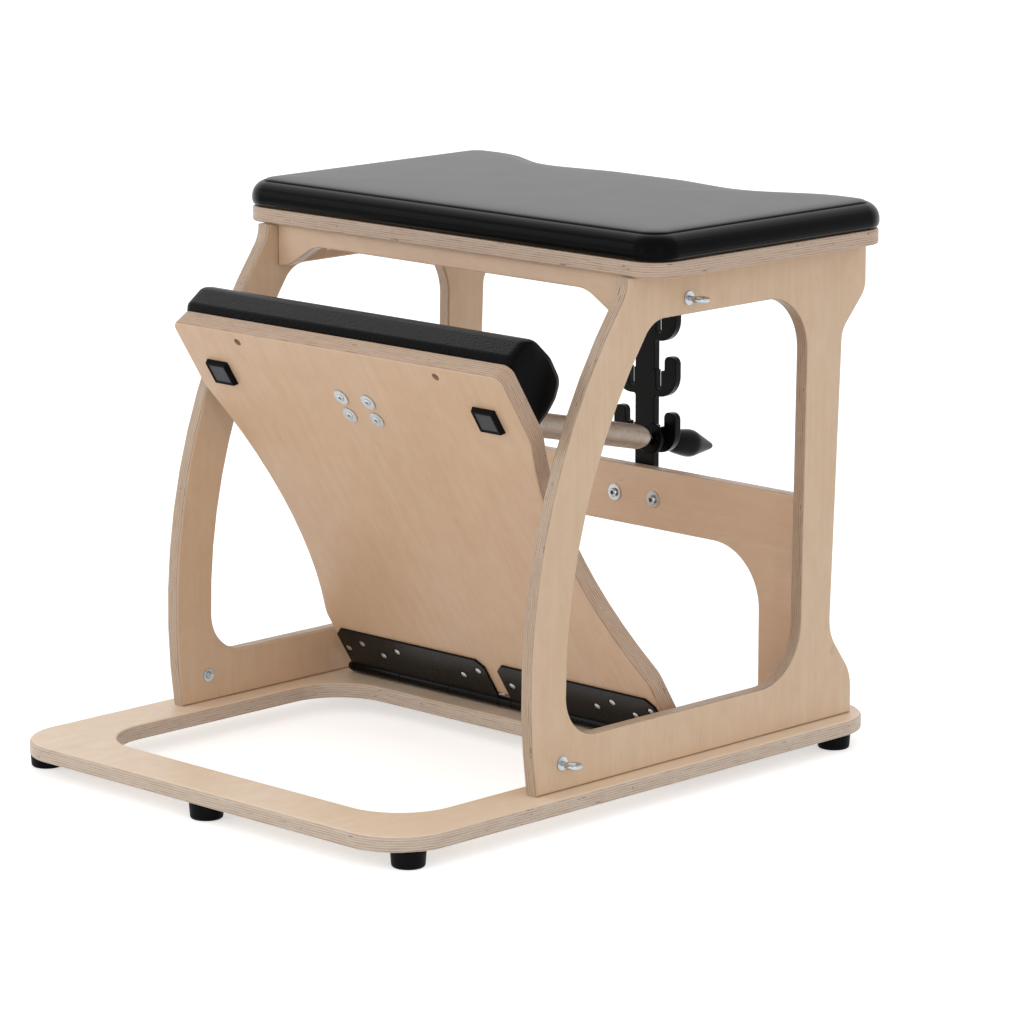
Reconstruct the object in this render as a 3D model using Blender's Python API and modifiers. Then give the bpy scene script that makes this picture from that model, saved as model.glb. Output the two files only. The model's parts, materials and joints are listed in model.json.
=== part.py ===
"""Pilates chair: a birch plywood frame with a padded seat and a sprung foot pedal.

The chair stands on the floor, z = 0, and faces -Y. Left and right are as seen by someone who looks along +Y.
Lengths that end in _Y are measured from the middle of the base board, and the whole chair is then shifted
along Y so that the middle of its bounding box is the origin.
"""

import math

import bmesh
import bpy
from mathutils import Matrix, Vector

# Clearances and stock, in metres
GAP = 0.0003
PLY = 0.018
PLY_CHAMFER = 0.0025
PEDAL_PLY = 0.024

# Base board and its feet
BASE_WIDTH = 0.670
BASE_DEPTH = 0.8314
BASE_CORNER = 0.0736
OPENING_FRONT_RAIL = 0.0757
OPENING_SIDE_RAIL = 0.073
OPENING_REAR_Y = 0.065
OPENING_CORNER = 0.073
REAR_CUT_Y = 0.190
REAR_CUT_FILLET = 0.060
REAR_CUT_MOUTH = 0.015
FOOT_RADIUS = 0.0205
FOOT_HEIGHT = 0.020
FOOT_CHAMFER = 0.002
FOOT_RECESS_DEPTH = 0.009
FOOT_SIDE_INSET = 0.027
FOOT_FRONT_INSET = 0.0437
FOOT_REAR_INSET = 0.0657
FOOT_MIDDLE_INSET = 0.0217

# Side panels
PANEL_INSET = 0.0257
PANEL_HEIGHT = 0.5784
PANEL_FRONT_Y = -0.0215
FRONT_ARC_RADIUS = 0.730
FRONT_ARC_Y = 0.552
FRONT_ARC_RISE = 0.1117
FRONT_NECK_FILLET = 0.040
WINDOW_FRONT_POST = 0.058
WINDOW_REAR_LOW_Y = 0.284
WINDOW_REAR_HIGH_Y = 0.2915
WINDOW_TOP_RAIL = 0.053
WINDOW_BOTTOM_RAIL = 0.0577
WINDOW_FRONT_LOW_FILLET = 0.050
WINDOW_ARC_START = 0.065
WINDOW_REAR_LOW_FILLET = 0.070
WINDOW_REAR_HIGH_FILLET = 0.068
WINDOW_FRONT_HIGH_FILLET = 0.040
REAR_HEAD_Y = 0.397
REAR_HEAD_DROP = 0.060
REAR_SHOULDER_Y = 0.355
REAR_SHOULDER_DROP = 0.105
REAR_WAIST_Y = 0.339
REAR_WAIST_RISE = 0.1057
REAR_HEEL_Y = 0.380
REAR_HEEL_RISE = 0.0502
REAR_FILLET = 0.030
REAR_FOOT_FILLET = 0.055

# Front apron and rear crossbar
APRON_FRONT_Y = -0.0045
APRON_DEPTH = 0.0225
APRON_LOBE_DEPTH = 0.052
APRON_LOBE_START = 0.0650
APRON_LOBE_RUN = 0.0490
CROSSBAR_FRONT_Y = 0.324
CROSSBAR_TOP_RISE = 0.2707
CROSSBAR_RAIL = 0.0755
CROSSBAR_LEG = 0.0845
CROSSBAR_FILLET = 0.075

# Seat board and seat pad
SEAT_WIDTH = 0.6936
SEAT_FRONT_Y = -0.0152
SEAT_EAR_Y = 0.397
SEAT_DIP_Y = 0.349
SEAT_HUMP_Y = 0.3665
SEAT_EAR_X = 0.2575
SEAT_DIP_X = 0.165
SEAT_HUMP_X = 0.060
SEAT_CORNER = 0.0375
SEAT_WAVE_FILLET = 0.060
PAD_OVERHANG = 0.001
PAD_SIDE = 0.0334
PAD_CROWN = 0.003
PAD_TUCK = 0.004
PAD_EDGE = 0.018
PAD_CROWN_RINGS = ((0.9, 0.45), (0.7, 0.85), (0.4, 1.0))

# Foot pedal, in its own frame: x across, up along the board from the hinge axis, front out of its face
PEDAL_TILT = math.radians(32.12)
HINGE_Y = 0.1002
HINGE_RISE = 0.0082
PEDAL_START = 0.0112
PEDAL_LENGTH = 0.547
PEDAL_SIDE_GAP = 0.0143
PEDAL_SHOULDER_STEP = 0.002
PEDAL_WAIST_CUT = 0.0385
PEDAL_SHOULDER_LOW = 0.085
PEDAL_SHOULDER_HIGH = 0.4642
PEDAL_CORNER = 0.013
PEDAL_PAD_END = 0.0045
PEDAL_PAD_ROUND = 0.005
PEDAL_PAD_TOP = 0.0025
PEDAL_PAD_LENGTH = 0.0893
PEDAL_PAD_HEIGHT = 0.058
BUMPER_SIDE_INSET = 0.0536
BUMPER_DROP = 0.069
BUMPER_WIDTH = 0.036
BUMPER_LENGTH = 0.034
BUMPER_HEIGHT = 0.0075
BUMPER_TAPER = 0.003
BUMPER_INSET = 0.0025
PAD_SCREW_INSET = 0.1045
PAD_SCREW_DROP = 0.0155

# The pedal pad's section, as (share of its length, share of its height), from its lower edge round
PEDAL_PAD_SHAPE = (
    (-1.0, 0.0),
    (-0.963, 0.38),
    (-0.90, 0.67),
    (-0.756, 0.983),
    (-0.375, 1.0),
    (-0.006, 0.836),
    (0.112, 0.603),
    (0.0, 0.0),
)
PEDAL_PAD_FILLETS = (0.002, 0.0, 0.020, 0.020, 0.030, 0.022, 0.014, 0.002)

# Hinge along the foot of the pedal
HINGE_END = 0.005
HINGE_PARTING = 0.022
KNUCKLE_RADIUS = 0.007
HINGE_PIN_RADIUS = 0.003
HINGE_PIN_HEAD = 0.0065
LEAF = 0.003
LEAF_SETBACK = 0.0090
LEAF_TOP = 0.0662
LEAF_CORNER = 0.011
BASE_LEAF_DEPTH = 0.052
BASE_LEAF_SCREWS_INNER = ((0.05, 0.040), (0.15, 0.025))
BASE_LEAF_SCREW_OUTER = (0.020, 0.040)
LEAF_SCREWS_INNER = (0.0255, 0.0575)
LEAF_SCREWS_OUTER = (0.103, 0.072, 0.0407, 0.0095)
LEAF_SCREWS_LOW = 0.0325
LEAF_SCREWS_HIGH = 0.019
UNION_TRIM = 0.00006

# Spring brackets on the pedal's rear face
SPRING_X = 0.0225
BRACKET_WIDTH = 0.024
BRACKET_PIN_DROP = 0.0312
BRACKET_BELOW_PIN = 0.015
BRACKET_ABOVE_PIN = 0.059
BRACKET_STEEL = 0.003
BRACKET_EAR_GAP = 0.011
BRACKET_EAR_HALF = 0.010
BRACKET_PIN_LIFT = 0.020
BRACKET_PIN_RADIUS = 0.003
BRACKET_PIN_HEAD = 0.0042
BRACKET_PIN_STUB = 0.0015
BRACKET_BOLTS_ABOVE_PIN = (0.020, 0.047)
POCKET_MARGIN = 0.002

# Hook plate behind the crossbar
HOOK_PLATE = 0.010
HOOK_POST = 0.032
HOOK_FLANGE = 0.095
HOOK_FLANGE_DROP = 0.070
HOOK_FLANGE_TOP_DROP = 0.004
HOOK_COUNT = 4
HOOK_PITCH = 0.070
HOOK_FIRST_RISE = 0.0695
HOOK_REACH = 0.052
HOOK_HEIGHT = 0.052
HOOK_MOUTH = 0.0165
HOOK_MOUTH_DEPTH = 0.019
HOOK_TIP_FILLET = 0.009
HOOK_HEEL_FILLET = 0.028
HOOK_SLOT_HALF = 0.0042
HOOK_SLOT_DEPTH = 0.043
HOOK_TOP_MARGIN = 0.010
HOOK_BOLT_X = 0.0325
HOOK_BOLT_DROP = 0.038

# Spring, hung in the lowest hook on the right
COIL_RADIUS = 0.0155
COIL_WIRE = 0.003
COIL_CURLS = 50
COIL_POINTS = 8
NECK_RADIUS = 0.0036
PIVOT_LIFT = 0.0062
DISC_RADIUS = 0.0195
DISC_THICKNESS = 0.006
DISC_BACK = 0.0145
DISC_BOSS_RADIUS = 0.0105
DISC_BOSS = 0.012
SOCKET_DEPTH = 0.008
HANDLE_START = 0.0135
HANDLE_LENGTH = 0.084
HANDLE_RADIUS = 0.0175
HANDLE_NECK_RADIUS = 0.0079
HANDLE_SHAPE = ((0.16, 0.99), (0.32, 0.93), (0.95, 0.56), (1.0, 0.46), (0.97, 0.34), (0.84, 0.16), (0.6, 0.03))
COLLAR_START = 0.012
COLLAR_LENGTH = 0.014
COLLAR_RADIUS = 0.0165
COLLAR_BORE = 0.010
EYE_RADIUS = 0.0085
EYE_WIDTH = 0.010
SHANK_RADIUS = 0.004
SHANK_LENGTH = 0.040

# Eyebolts in the side panels, each set back from the panel's front edge at its height above the base board
EYE_WIRE = 0.0028
EYE_LOOP = 0.0082
EYE_STANDOFF = 0.018
EYE_LOOP_POINTS = 12
EYE_OPENING = math.radians(55)
EYEBOLT_LOWER_SETBACK = 0.0457
EYEBOLT_LOWER_RISE = 0.0327
EYEBOLT_UPPER_SETBACK = 0.1025
EYEBOLT_UPPER_RISE = 0.5447

# Fasteners
SCREW_SIDES = 8
ROUND_SIDES = 12
FOOT_SIDES = 12
SPRING_SIDES = 16
WASHER = 0.0012
NUT = 0.004
NUT_WALL = 0.0024
BOLT_PROUD = 0.0014
WASHER_RADIUS = 0.0082
FOOT_SCREW_RADIUS = 0.0025
FOOT_SCREW_HEAD = 0.0075
HINGE_SCREW_RADIUS = 0.002
HINGE_SCREW_GRIP = 0.012
BOLT_RADIUS = 0.003
BOLT_HEAD = 0.0052
BOLT_HEAD_HEIGHT = 0.0035
BRACKET_BOLT_RADIUS = 0.0025
BRACKET_BOLT_HEAD = 0.0036
PAD_SCREW_RADIUS = 0.0015
PAD_SCREW_HEAD = 0.0024
PAD_SCREW_HEAD_HEIGHT = 0.002
PAD_SCREW_SINK = 0.006
PAD_SCREW_GRIP = 0.015

# Levels and faces that follow from the sizes above
BASE_TOP = FOOT_HEIGHT + GAP + PLY
PANEL_OUTER = BASE_WIDTH / 2 - PANEL_INSET
PANEL_INNER = PANEL_OUTER - PLY
PANEL_BOTTOM = BASE_TOP + GAP
PANEL_TOP = PANEL_BOTTOM + PANEL_HEIGHT
SEAT_BOTTOM = PANEL_TOP + GAP
SEAT_TOP = SEAT_BOTTOM + PLY
RAIL_END = PANEL_INNER - GAP
CROSSBAR_REAR_Y = CROSSBAR_FRONT_Y + PLY
HOOK_FRONT_Y = CROSSBAR_REAR_Y + GAP
HOOK_REAR_Y = HOOK_FRONT_Y + HOOK_PLATE
CROSSBAR_TOP = BASE_TOP + CROSSBAR_TOP_RISE
HOOK_BOLT_Z = CROSSBAR_TOP - HOOK_BOLT_DROP
FIRST_HOOK_TOP = CROSSBAR_TOP + HOOK_FIRST_RISE
HINGE_Z = BASE_TOP + HINGE_RISE

# The pedal's parts across its width, each measured from the one beside it, and up from its foot
PEDAL_SHOULDER = 2 * (PANEL_INNER - PEDAL_SIDE_GAP)
PEDAL_WIDTH = PEDAL_SHOULDER - 2 * PEDAL_SHOULDER_STEP
PEDAL_WAIST = PEDAL_SHOULDER - 2 * PEDAL_WAIST_CUT
PEDAL_PAD_WIDTH = PEDAL_WIDTH - 2 * PEDAL_PAD_END
HINGE_WIDTH = PEDAL_WIDTH - 2 * HINGE_END
BUMPER_X = PEDAL_SHOULDER / 2 - BUMPER_SIDE_INSET
PAD_SCREW_X = PEDAL_PAD_WIDTH / 2 - PAD_SCREW_INSET
LEAF_SCREW_X = LEAF_SCREWS_INNER + tuple(HINGE_WIDTH / 2 - x for x in LEAF_SCREWS_OUTER)
BASE_LEAF_SCREWS = BASE_LEAF_SCREWS_INNER + (
    (HINGE_WIDTH / 2 - BASE_LEAF_SCREW_OUTER[0], BASE_LEAF_SCREW_OUTER[1]),
)
PEDAL_FRONT = -LEAF / 2 - GAP
PEDAL_REAR = PEDAL_FRONT - PEDAL_PLY
PEDAL_TOP = PEDAL_START + PEDAL_LENGTH
BRACKET_PIN_UP = PEDAL_TOP - PEDAL_PAD_TOP - PEDAL_PAD_LENGTH - BRACKET_PIN_DROP
BRACKET_LOW = BRACKET_PIN_UP - BRACKET_BELOW_PIN
BRACKET_HIGH = BRACKET_PIN_UP + BRACKET_ABOVE_PIN
BRACKET_BOLTS_UP = tuple(BRACKET_PIN_UP + rise for rise in BRACKET_BOLTS_ABOVE_PIN)

# The spring's two ends: the pivot in the hook's slot, and the pin in the right bracket
PIVOT_Y = HOOK_FRONT_Y + HOOK_PLATE / 2
PIVOT_Z = FIRST_HOOK_TOP - HOOK_SLOT_DEPTH + PIVOT_LIFT
PIN_FRONT = PEDAL_REAR - GAP - BRACKET_PIN_LIFT
PIN_Y = HINGE_Y - BRACKET_PIN_UP * math.sin(PEDAL_TILT) - PIN_FRONT * math.cos(PEDAL_TILT)
PIN_Z = HINGE_Z + BRACKET_PIN_UP * math.cos(PEDAL_TILT) - PIN_FRONT * math.sin(PEDAL_TILT)
SPRING_LENGTH = math.hypot(PIVOT_Y - PIN_Y, PIVOT_Z - PIN_Z)
SPRING_TURN = math.atan2(PIN_Y - PIVOT_Y, PIVOT_Z - PIN_Z)
HANDLE_TIP_Y = PIVOT_Y - (HANDLE_START + HANDLE_LENGTH) * math.sin(SPRING_TURN)
FRAME_Y = (BASE_DEPTH / 2 - max(HANDLE_TIP_Y, BASE_DEPTH / 2)) / 2

# Turns that stand a flat outline up, facing along X or along Y
FACING_X = (math.pi / 2, 0, math.pi / 2)
FACING_Y = (math.pi / 2, 0, 0)
UP = Vector((0, 0, 1))
DOWN = Vector((0, 0, -1))
RIGHT = Vector((1, 0, 0))
REAR = Vector((0, 1, 0))
FORWARD = Vector((0, -1, 0))

for old in list(bpy.data.objects):
    bpy.data.objects.remove(old, do_unlink=True)

parts = bpy.data.collections.new("pilates_chair")
cutters = bpy.data.collections.new("cutters")
bpy.context.scene.collection.children.link(parts)
bpy.context.scene.collection.children.link(cutters)


def material(name, colour, roughness, metallic=0.0):
    """A Principled material; the colour is linear red, green and blue."""
    made = bpy.data.materials.new(name)
    made.use_nodes = True
    shader = made.node_tree.nodes["Principled BSDF"]
    shader.inputs["Base Color"].default_value = (*colour, 1.0)
    shader.inputs["Roughness"].default_value = roughness
    shader.inputs["Metallic"].default_value = metallic
    made.diffuse_color = (*colour, 1.0)
    return made


BIRCH = material("birch_plywood", (0.66, 0.49, 0.34), 0.45)
VINYL = material("black_vinyl", (0.012, 0.012, 0.013), 0.38)
RUBBER = material("black_rubber", (0.010, 0.010, 0.010), 0.70)
POWDER_COAT = material("black_powder_coat", (0.014, 0.014, 0.015), 0.50)
BLACK_PLASTIC = material("black_moulded_plastic", (0.010, 0.010, 0.011), 0.35)
ZINC = material("zinc_plated_steel", (0.60, 0.61, 0.62), 0.32, 1.0)
SPRING_STEEL = material("spring_steel", (0.42, 0.40, 0.37), 0.35, 1.0)


def clear(radius, sides):
    """Radius of a hole with this many sides that clears a round rod all round."""
    return (radius + GAP) / math.cos(math.pi / sides)


def arc(centre, radius, start, end, steps):
    """Points on an arc from one angle to another, both ends included."""
    angles = [start + (end - start) * i / steps for i in range(steps + 1)]
    return [(centre[0] + radius * math.cos(a), centre[1] + radius * math.sin(a)) for a in angles]


def circle(centre, radius, sides):
    """Points round a circle."""
    return arc(centre, radius, 0, math.tau * (sides - 1) / sides, sides - 1)


def rounded(corners, step=math.radians(18), reach=0.49):
    """Closed outline through corners given as (x, y, fillet radius); reach is a fillet's largest share of a side."""
    points = []
    for i, (x, y, radius) in enumerate(corners):
        here = Vector((x, y))
        to_last = Vector(corners[i - 1][:2]) - here
        to_next = Vector(corners[(i + 1) % len(corners)][:2]) - here
        turn = math.pi - to_last.angle(to_next)
        if radius <= 0 or turn < 1e-4:
            points.append((x, y))
            continue
        run = min(radius * math.tan(turn / 2), reach * min(to_last.length, to_next.length))
        start = here + to_last.normalized() * run
        end = here + to_next.normalized() * run
        fillet = run / math.tan(turn / 2)
        centre = here + (to_last.normalized() + to_next.normalized()).normalized() * math.hypot(fillet, run)
        steps = max(2, math.ceil(turn / step))
        swing = (start - centre).angle_signed(end - centre)
        for k in range(steps + 1):
            spoke = (start - centre).copy()
            spoke.rotate(Matrix.Rotation(-swing * k / steps, 2))
            points.append(tuple(centre + spoke))
    return points


def place(obj, finish, parent, location=(0, 0, 0), rotation=(0, 0, 0)):
    """Gives an object its finish, its parent and its place, and files it with the chair's parts."""
    parts.objects.link(obj)
    obj.parent = parent
    obj.location = location
    obj.rotation_euler = rotation
    if not obj.data.materials:
        obj.data.materials.append(finish)
    return obj


def clean(mesh, smooth_angle=math.radians(35)):
    """Welds a closed mesh, points its faces outwards and smooths its round stretches."""
    bm = bmesh.new()
    bm.from_mesh(mesh)
    bmesh.ops.remove_doubles(bm, verts=bm.verts, dist=1e-6)
    bmesh.ops.recalc_face_normals(bm, faces=bm.faces)
    bm.to_mesh(mesh)
    bm.free()
    mesh.shade_smooth()
    mesh.set_sharp_from_angle(angle=smooth_angle)
    return mesh


def evaluated_mesh(obj):
    """A new mesh from an object as its curve or its modifiers make it; the object is then removed."""
    bpy.context.scene.collection.objects.link(obj)
    bpy.context.view_layer.update()
    depsgraph = bpy.context.evaluated_depsgraph_get()
    mesh = bpy.data.meshes.new_from_object(obj.evaluated_get(depsgraph))
    bpy.data.objects.remove(obj, do_unlink=True)
    return clean(mesh)


def sheet_mesh(outlines, thickness, edge=0.0, edge_steps=0):
    """A plate cut to closed outlines, the later ones being holes, with its edges chamfered or rounded."""
    curve = bpy.data.curves.new("outline", "CURVE")
    curve.dimensions = "2D"
    curve.fill_mode = "BOTH"
    curve.extrude = thickness / 2 - edge
    curve.bevel_depth = edge
    curve.bevel_resolution = edge_steps
    curve.offset = -edge
    for outline in outlines:
        spline = curve.splines.new("POLY")
        spline.points.add(len(outline) - 1)
        spline.use_cyclic_u = True
        for point, (x, y) in zip(spline.points, outline):
            point.co = (x, y, 0, 1)
    return evaluated_mesh(bpy.data.objects.new("outline", curve))


def turned_mesh(profile, sides, closed=False):
    """A solid turned round Z from (radius, height) points down its outer side; closed makes a ring."""
    mesh = bpy.data.meshes.new("profile")
    edges = [(i, i + 1) for i in range(len(profile) - 1)]
    if closed:
        edges.append((len(profile) - 1, 0))
    mesh.from_pydata([(r, 0, z) for r, z in profile], edges, [])
    obj = bpy.data.objects.new("profile", mesh)
    turn = obj.modifiers.new("turn", "SCREW")
    turn.axis = "Z"
    turn.steps = sides
    turn.render_steps = sides
    turn.use_merge_vertices = True
    turn.merge_threshold = 0.00001
    return evaluated_mesh(obj)


def tube_object(name, path, radius, finish, parent, location=(0, 0, 0), rotation=(0, 0, 0)):
    """An unbroken round tube with closed ends along straight runs between its points."""
    curve = bpy.data.curves.new(name, "CURVE")
    curve.dimensions = "3D"
    curve.bevel_depth = radius
    curve.bevel_resolution = 1
    curve.use_fill_caps = True
    spline = curve.splines.new("POLY")
    spline.points.add(len(path) - 1)
    for point, co in zip(spline.points, path):
        point.co = (*co, 1)
    return place(bpy.data.objects.new(name, curve), finish, parent, location, rotation)


def facing(direction, location):
    """A place whose Z points along direction."""
    return Matrix.Translation(location) @ direction.to_track_quat("Z", "Y").to_matrix().to_4x4()


def gathered(mesh, places):
    """One mesh that holds a copy of another at each place."""
    bm = bmesh.new()
    for where in places:
        copy = mesh.copy()
        copy.transform(where)
        bm.from_mesh(copy)
        bpy.data.meshes.remove(copy)
    made = bpy.data.meshes.new("group")
    bm.to_mesh(made)
    bm.free()
    return clean(made)


def node(name, mesh, finish, parent, location=(0, 0, 0), rotation=(0, 0, 0)):
    """A sub-part of the chair."""
    mesh.name = name
    return place(bpy.data.objects.new(name, mesh), finish, parent, location, rotation)


def copies(mesh, finish, parent, places):
    """Like pieces, each its own object, that share one mesh; places gives each name its place."""
    for name, where in places.items():
        node(name, mesh, finish, parent, where.to_translation(), where.to_euler())


def cutter(name, mesh, parent, location=(0, 0, 0), rotation=(0, 0, 0)):
    """A tool for Boolean cuts, which isn't part of the chair."""
    obj = bpy.data.objects.new(name, mesh)
    cutters.objects.link(obj)
    obj.parent = parent
    obj.location = location
    obj.rotation_euler = rotation
    obj.display_type = "WIRE"
    obj.hide_render = True
    return obj


def combine(obj, tool, operation):
    """A Boolean of one object with a tool."""
    step = obj.modifiers.new(tool.name, "BOOLEAN")
    step.operation = operation
    step.solver = "EXACT"
    step.object = tool


def screw_profile(head_radius, head_height, radius, length):
    """A pan-headed screw that points down, with the underside of its head at zero."""
    top = (0.6 * head_radius, head_height)
    shoulder = (head_radius, 0.45 * head_height)
    return [(0, head_height), top, shoulder, (head_radius, 0), (radius, 0), (radius, -length), (0, -length)]


def hole_profile(head_radius, head_depth, radius, length):
    """A cutter for a screw's hole, with a pocket for its head above zero."""
    wide = clear(head_radius, SCREW_SIDES)
    narrow = clear(radius, SCREW_SIDES)
    return [(0, head_depth), (wide, head_depth), (wide, 0), (narrow, 0), (narrow, -length), (0, -length)]


def rod_profile(radius, top, bottom):
    """A plain rod between two heights."""
    return [(0, top), (radius, top), (radius, bottom), (0, bottom)]


def ring_profile(inner, outer, top, bottom=0.0):
    """A square-edged ring, turned as a closed loop."""
    return [(inner, top), (outer, top), (outer, bottom), (inner, bottom)]


def washer_mesh(bolt_radius):
    """A flat washer that stands on z = 0."""
    inner = clear(bolt_radius, ROUND_SIDES)
    return turned_mesh(ring_profile(inner, WASHER_RADIUS, WASHER), ROUND_SIDES, closed=True)


def nut_mesh(bolt_radius):
    """A hexagon nut that stands on z = 0."""
    hole = clear(bolt_radius, 6)
    return turned_mesh(ring_profile(hole, hole + NUT_WALL, NUT), 6, closed=True)


def flange_nut_mesh(bolt_radius):
    """A nut and the washer under it in one piece, on z = 0, narrowing to the nut's own width."""
    hole = clear(bolt_radius, ROUND_SIDES)
    profile = [(hole, NUT + WASHER), (hole + NUT_WALL, NUT + WASHER), (hole + NUT_WALL, WASHER),
               (WASHER_RADIUS, WASHER), (WASHER_RADIUS, 0), (hole, 0)]
    return turned_mesh(profile, ROUND_SIDES, closed=True)


def empty(name, parent=None, location=(0, 0, 0), rotation=(0, 0, 0)):
    """A frame that pieces hang on; a moving piece's frame is on its joint's axis."""
    obj = bpy.data.objects.new(name, None)
    parts.objects.link(obj)
    obj.parent = parent
    obj.location = location
    obj.rotation_euler = rotation
    return obj


frame = empty("chair_frame", location=(0, FRAME_Y, 0))
pedal_axis = empty("pedal_axis", frame, (0, HINGE_Y, HINGE_Z), (math.pi / 2 + PEDAL_TILT, 0, 0))
spring_axis = empty("spring_axis", frame, (SPRING_X, PIVOT_Y, PIVOT_Z), (SPRING_TURN, 0, 0))
eye_turn = SPRING_TURN - math.pi / 2 - PEDAL_TILT
pin_axis = empty("pin_axis", pedal_axis, (SPRING_X, BRACKET_PIN_UP, PIN_FRONT), (eye_turn, 0, 0))


def base_outlines():
    half = BASE_WIDTH / 2
    front = -BASE_DEPTH / 2
    rear = BASE_DEPTH / 2
    x = half - OPENING_SIDE_RAIL
    y = front + OPENING_FRONT_RAIL
    cut = RAIL_END - CROSSBAR_LEG
    right = [
        (half, front, BASE_CORNER),
        (half, rear, BASE_CORNER),
        (cut, rear, REAR_CUT_MOUTH),
        (cut, REAR_CUT_Y, REAR_CUT_FILLET),
    ]
    inner = [(-x, y), (x, y), (x, OPENING_REAR_Y), (-x, OPENING_REAR_Y)]
    return [
        rounded(right + [(-a, b, r) for a, b, r in reversed(right)], reach=0.6),
        rounded([(a, b, OPENING_CORNER) for a, b in inner]),
    ]


base_board = node("base_board", sheet_mesh(base_outlines(), PLY, PLY_CHAMFER), BIRCH, frame,
                  (0, 0, BASE_TOP - PLY / 2))


def front_arc_y(radius, z):
    """Where the panels' big front curve, or the one round its centre with another radius, is at a height."""
    return FRONT_ARC_Y - math.sqrt(radius ** 2 - (z - BASE_TOP - FRONT_ARC_RISE) ** 2)


def front_arc_z(radius, y):
    return BASE_TOP + FRONT_ARC_RISE + math.sqrt(radius ** 2 - (FRONT_ARC_Y - y) ** 2)


def arc_corners(radius, low, high, count):
    """Plain corners up the front curve between two heights."""
    heights = [low + (high - low) * i / (count - 1) for i in range(count)]
    return [(front_arc_y(radius, z), z, 0) for z in heights]


def panel_outlines():
    neck = front_arc_z(FRONT_ARC_RADIUS, PANEL_FRONT_Y)
    outer = arc_corners(FRONT_ARC_RADIUS, PANEL_BOTTOM, neck - FRONT_NECK_FILLET, 14)
    outer += [
        (PANEL_FRONT_Y, neck, FRONT_NECK_FILLET),
        (PANEL_FRONT_Y, PANEL_TOP, 0),
        (REAR_HEAD_Y, PANEL_TOP, 0),
        (REAR_HEAD_Y, PANEL_TOP - REAR_HEAD_DROP, REAR_FILLET),
        (REAR_SHOULDER_Y, PANEL_TOP - REAR_SHOULDER_DROP, REAR_FILLET),
        (REAR_WAIST_Y, BASE_TOP + REAR_WAIST_RISE, REAR_FOOT_FILLET),
        (REAR_HEEL_Y, BASE_TOP + REAR_HEEL_RISE, REAR_FOOT_FILLET),
        (REAR_HEEL_Y, PANEL_BOTTOM, 0),
    ]
    radius = FRONT_ARC_RADIUS - WINDOW_FRONT_POST
    low = BASE_TOP + WINDOW_BOTTOM_RAIL
    high = PANEL_TOP - WINDOW_TOP_RAIL
    window = [(front_arc_y(radius, low), low, WINDOW_FRONT_LOW_FILLET)]
    window += arc_corners(radius, low + WINDOW_ARC_START, high - WINDOW_FRONT_HIGH_FILLET, 9)
    window += [
        (front_arc_y(radius, high), high, WINDOW_FRONT_HIGH_FILLET),
        (WINDOW_REAR_HIGH_Y, high, WINDOW_REAR_HIGH_FILLET),
        (WINDOW_REAR_LOW_Y, low, WINDOW_REAR_LOW_FILLET),
    ]
    return [rounded(outer), rounded(window)]


side_panels = {}
for side, name in ((-1, "left"), (1, "right")):
    mesh = sheet_mesh(panel_outlines(), PLY, PLY_CHAMFER)
    side_panels[side] = node(f"side_panel_{name}", mesh, BIRCH, frame, (side * (PANEL_OUTER - PLY / 2), 0, 0),
                             FACING_X)


def apron_outline():
    top = PANEL_TOP
    inner = RAIL_END - APRON_LOBE_START
    right = [
        (RAIL_END, top, 0),
        (RAIL_END, top - APRON_LOBE_DEPTH, 0),
        (inner + APRON_LOBE_RUN, top - APRON_LOBE_DEPTH, APRON_LOBE_RUN),
        (inner, top - APRON_DEPTH, APRON_LOBE_RUN),
    ]
    return rounded([(-x, z, r) for x, z, r in right] + [(x, z, r) for x, z, r in reversed(right)])


node("front_apron", sheet_mesh([apron_outline()], PLY, PLY_CHAMFER), BIRCH, frame,
     (0, APRON_FRONT_Y + PLY / 2, 0), FACING_Y)


def crossbar_outline():
    inner = RAIL_END - CROSSBAR_LEG
    under = CROSSBAR_TOP - CROSSBAR_RAIL
    right = [
        (RAIL_END, CROSSBAR_TOP, 0),
        (RAIL_END, PANEL_BOTTOM, 0),
        (inner, PANEL_BOTTOM, 0),
        (inner, under, CROSSBAR_FILLET),
    ]
    return rounded([(-x, z, r) for x, z, r in right] + [(x, z, r) for x, z, r in reversed(right)])


rear_crossbar = node("rear_crossbar", sheet_mesh([crossbar_outline()], PLY, PLY_CHAMFER), BIRCH, frame,
                     (0, CROSSBAR_FRONT_Y + PLY / 2, 0), FACING_Y)


def seat_outline(grow=0.0):
    """The seat's outline, waved at the rear, spread by grow on every side."""
    side = SEAT_WIDTH / 2 + grow
    right = [
        (side, SEAT_FRONT_Y - grow, SEAT_CORNER + grow),
        (side, SEAT_EAR_Y + grow, SEAT_CORNER + grow),
        (SEAT_EAR_X, SEAT_EAR_Y + grow, SEAT_WAVE_FILLET),
        (SEAT_DIP_X, SEAT_DIP_Y + grow, SEAT_WAVE_FILLET),
        (SEAT_HUMP_X, SEAT_HUMP_Y + grow, 3 * SEAT_WAVE_FILLET),
    ]
    return rounded(right + [(-x, y, r) for x, y, r in reversed(right)], math.radians(15))


node("seat_board", sheet_mesh([seat_outline()], PLY, PLY_CHAMFER), BIRCH, frame,
     (0, 0, SEAT_BOTTOM + PLY / 2))


def inset(outline, distance):
    """An outline, given anticlockwise, moved inwards at each point."""
    moved = []
    for i, point in enumerate(outline):
        back = (Vector(point) - Vector(outline[i - 1])).normalized()
        on = (Vector(outline[(i + 1) % len(outline)]) - Vector(point)).normalized()
        along = (back + on).normalized()
        inward = Vector((-along.y, along.x)) / max(0.5, along.dot(on))
        moved.append(tuple(Vector(point) + inward * distance))
    return moved


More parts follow.
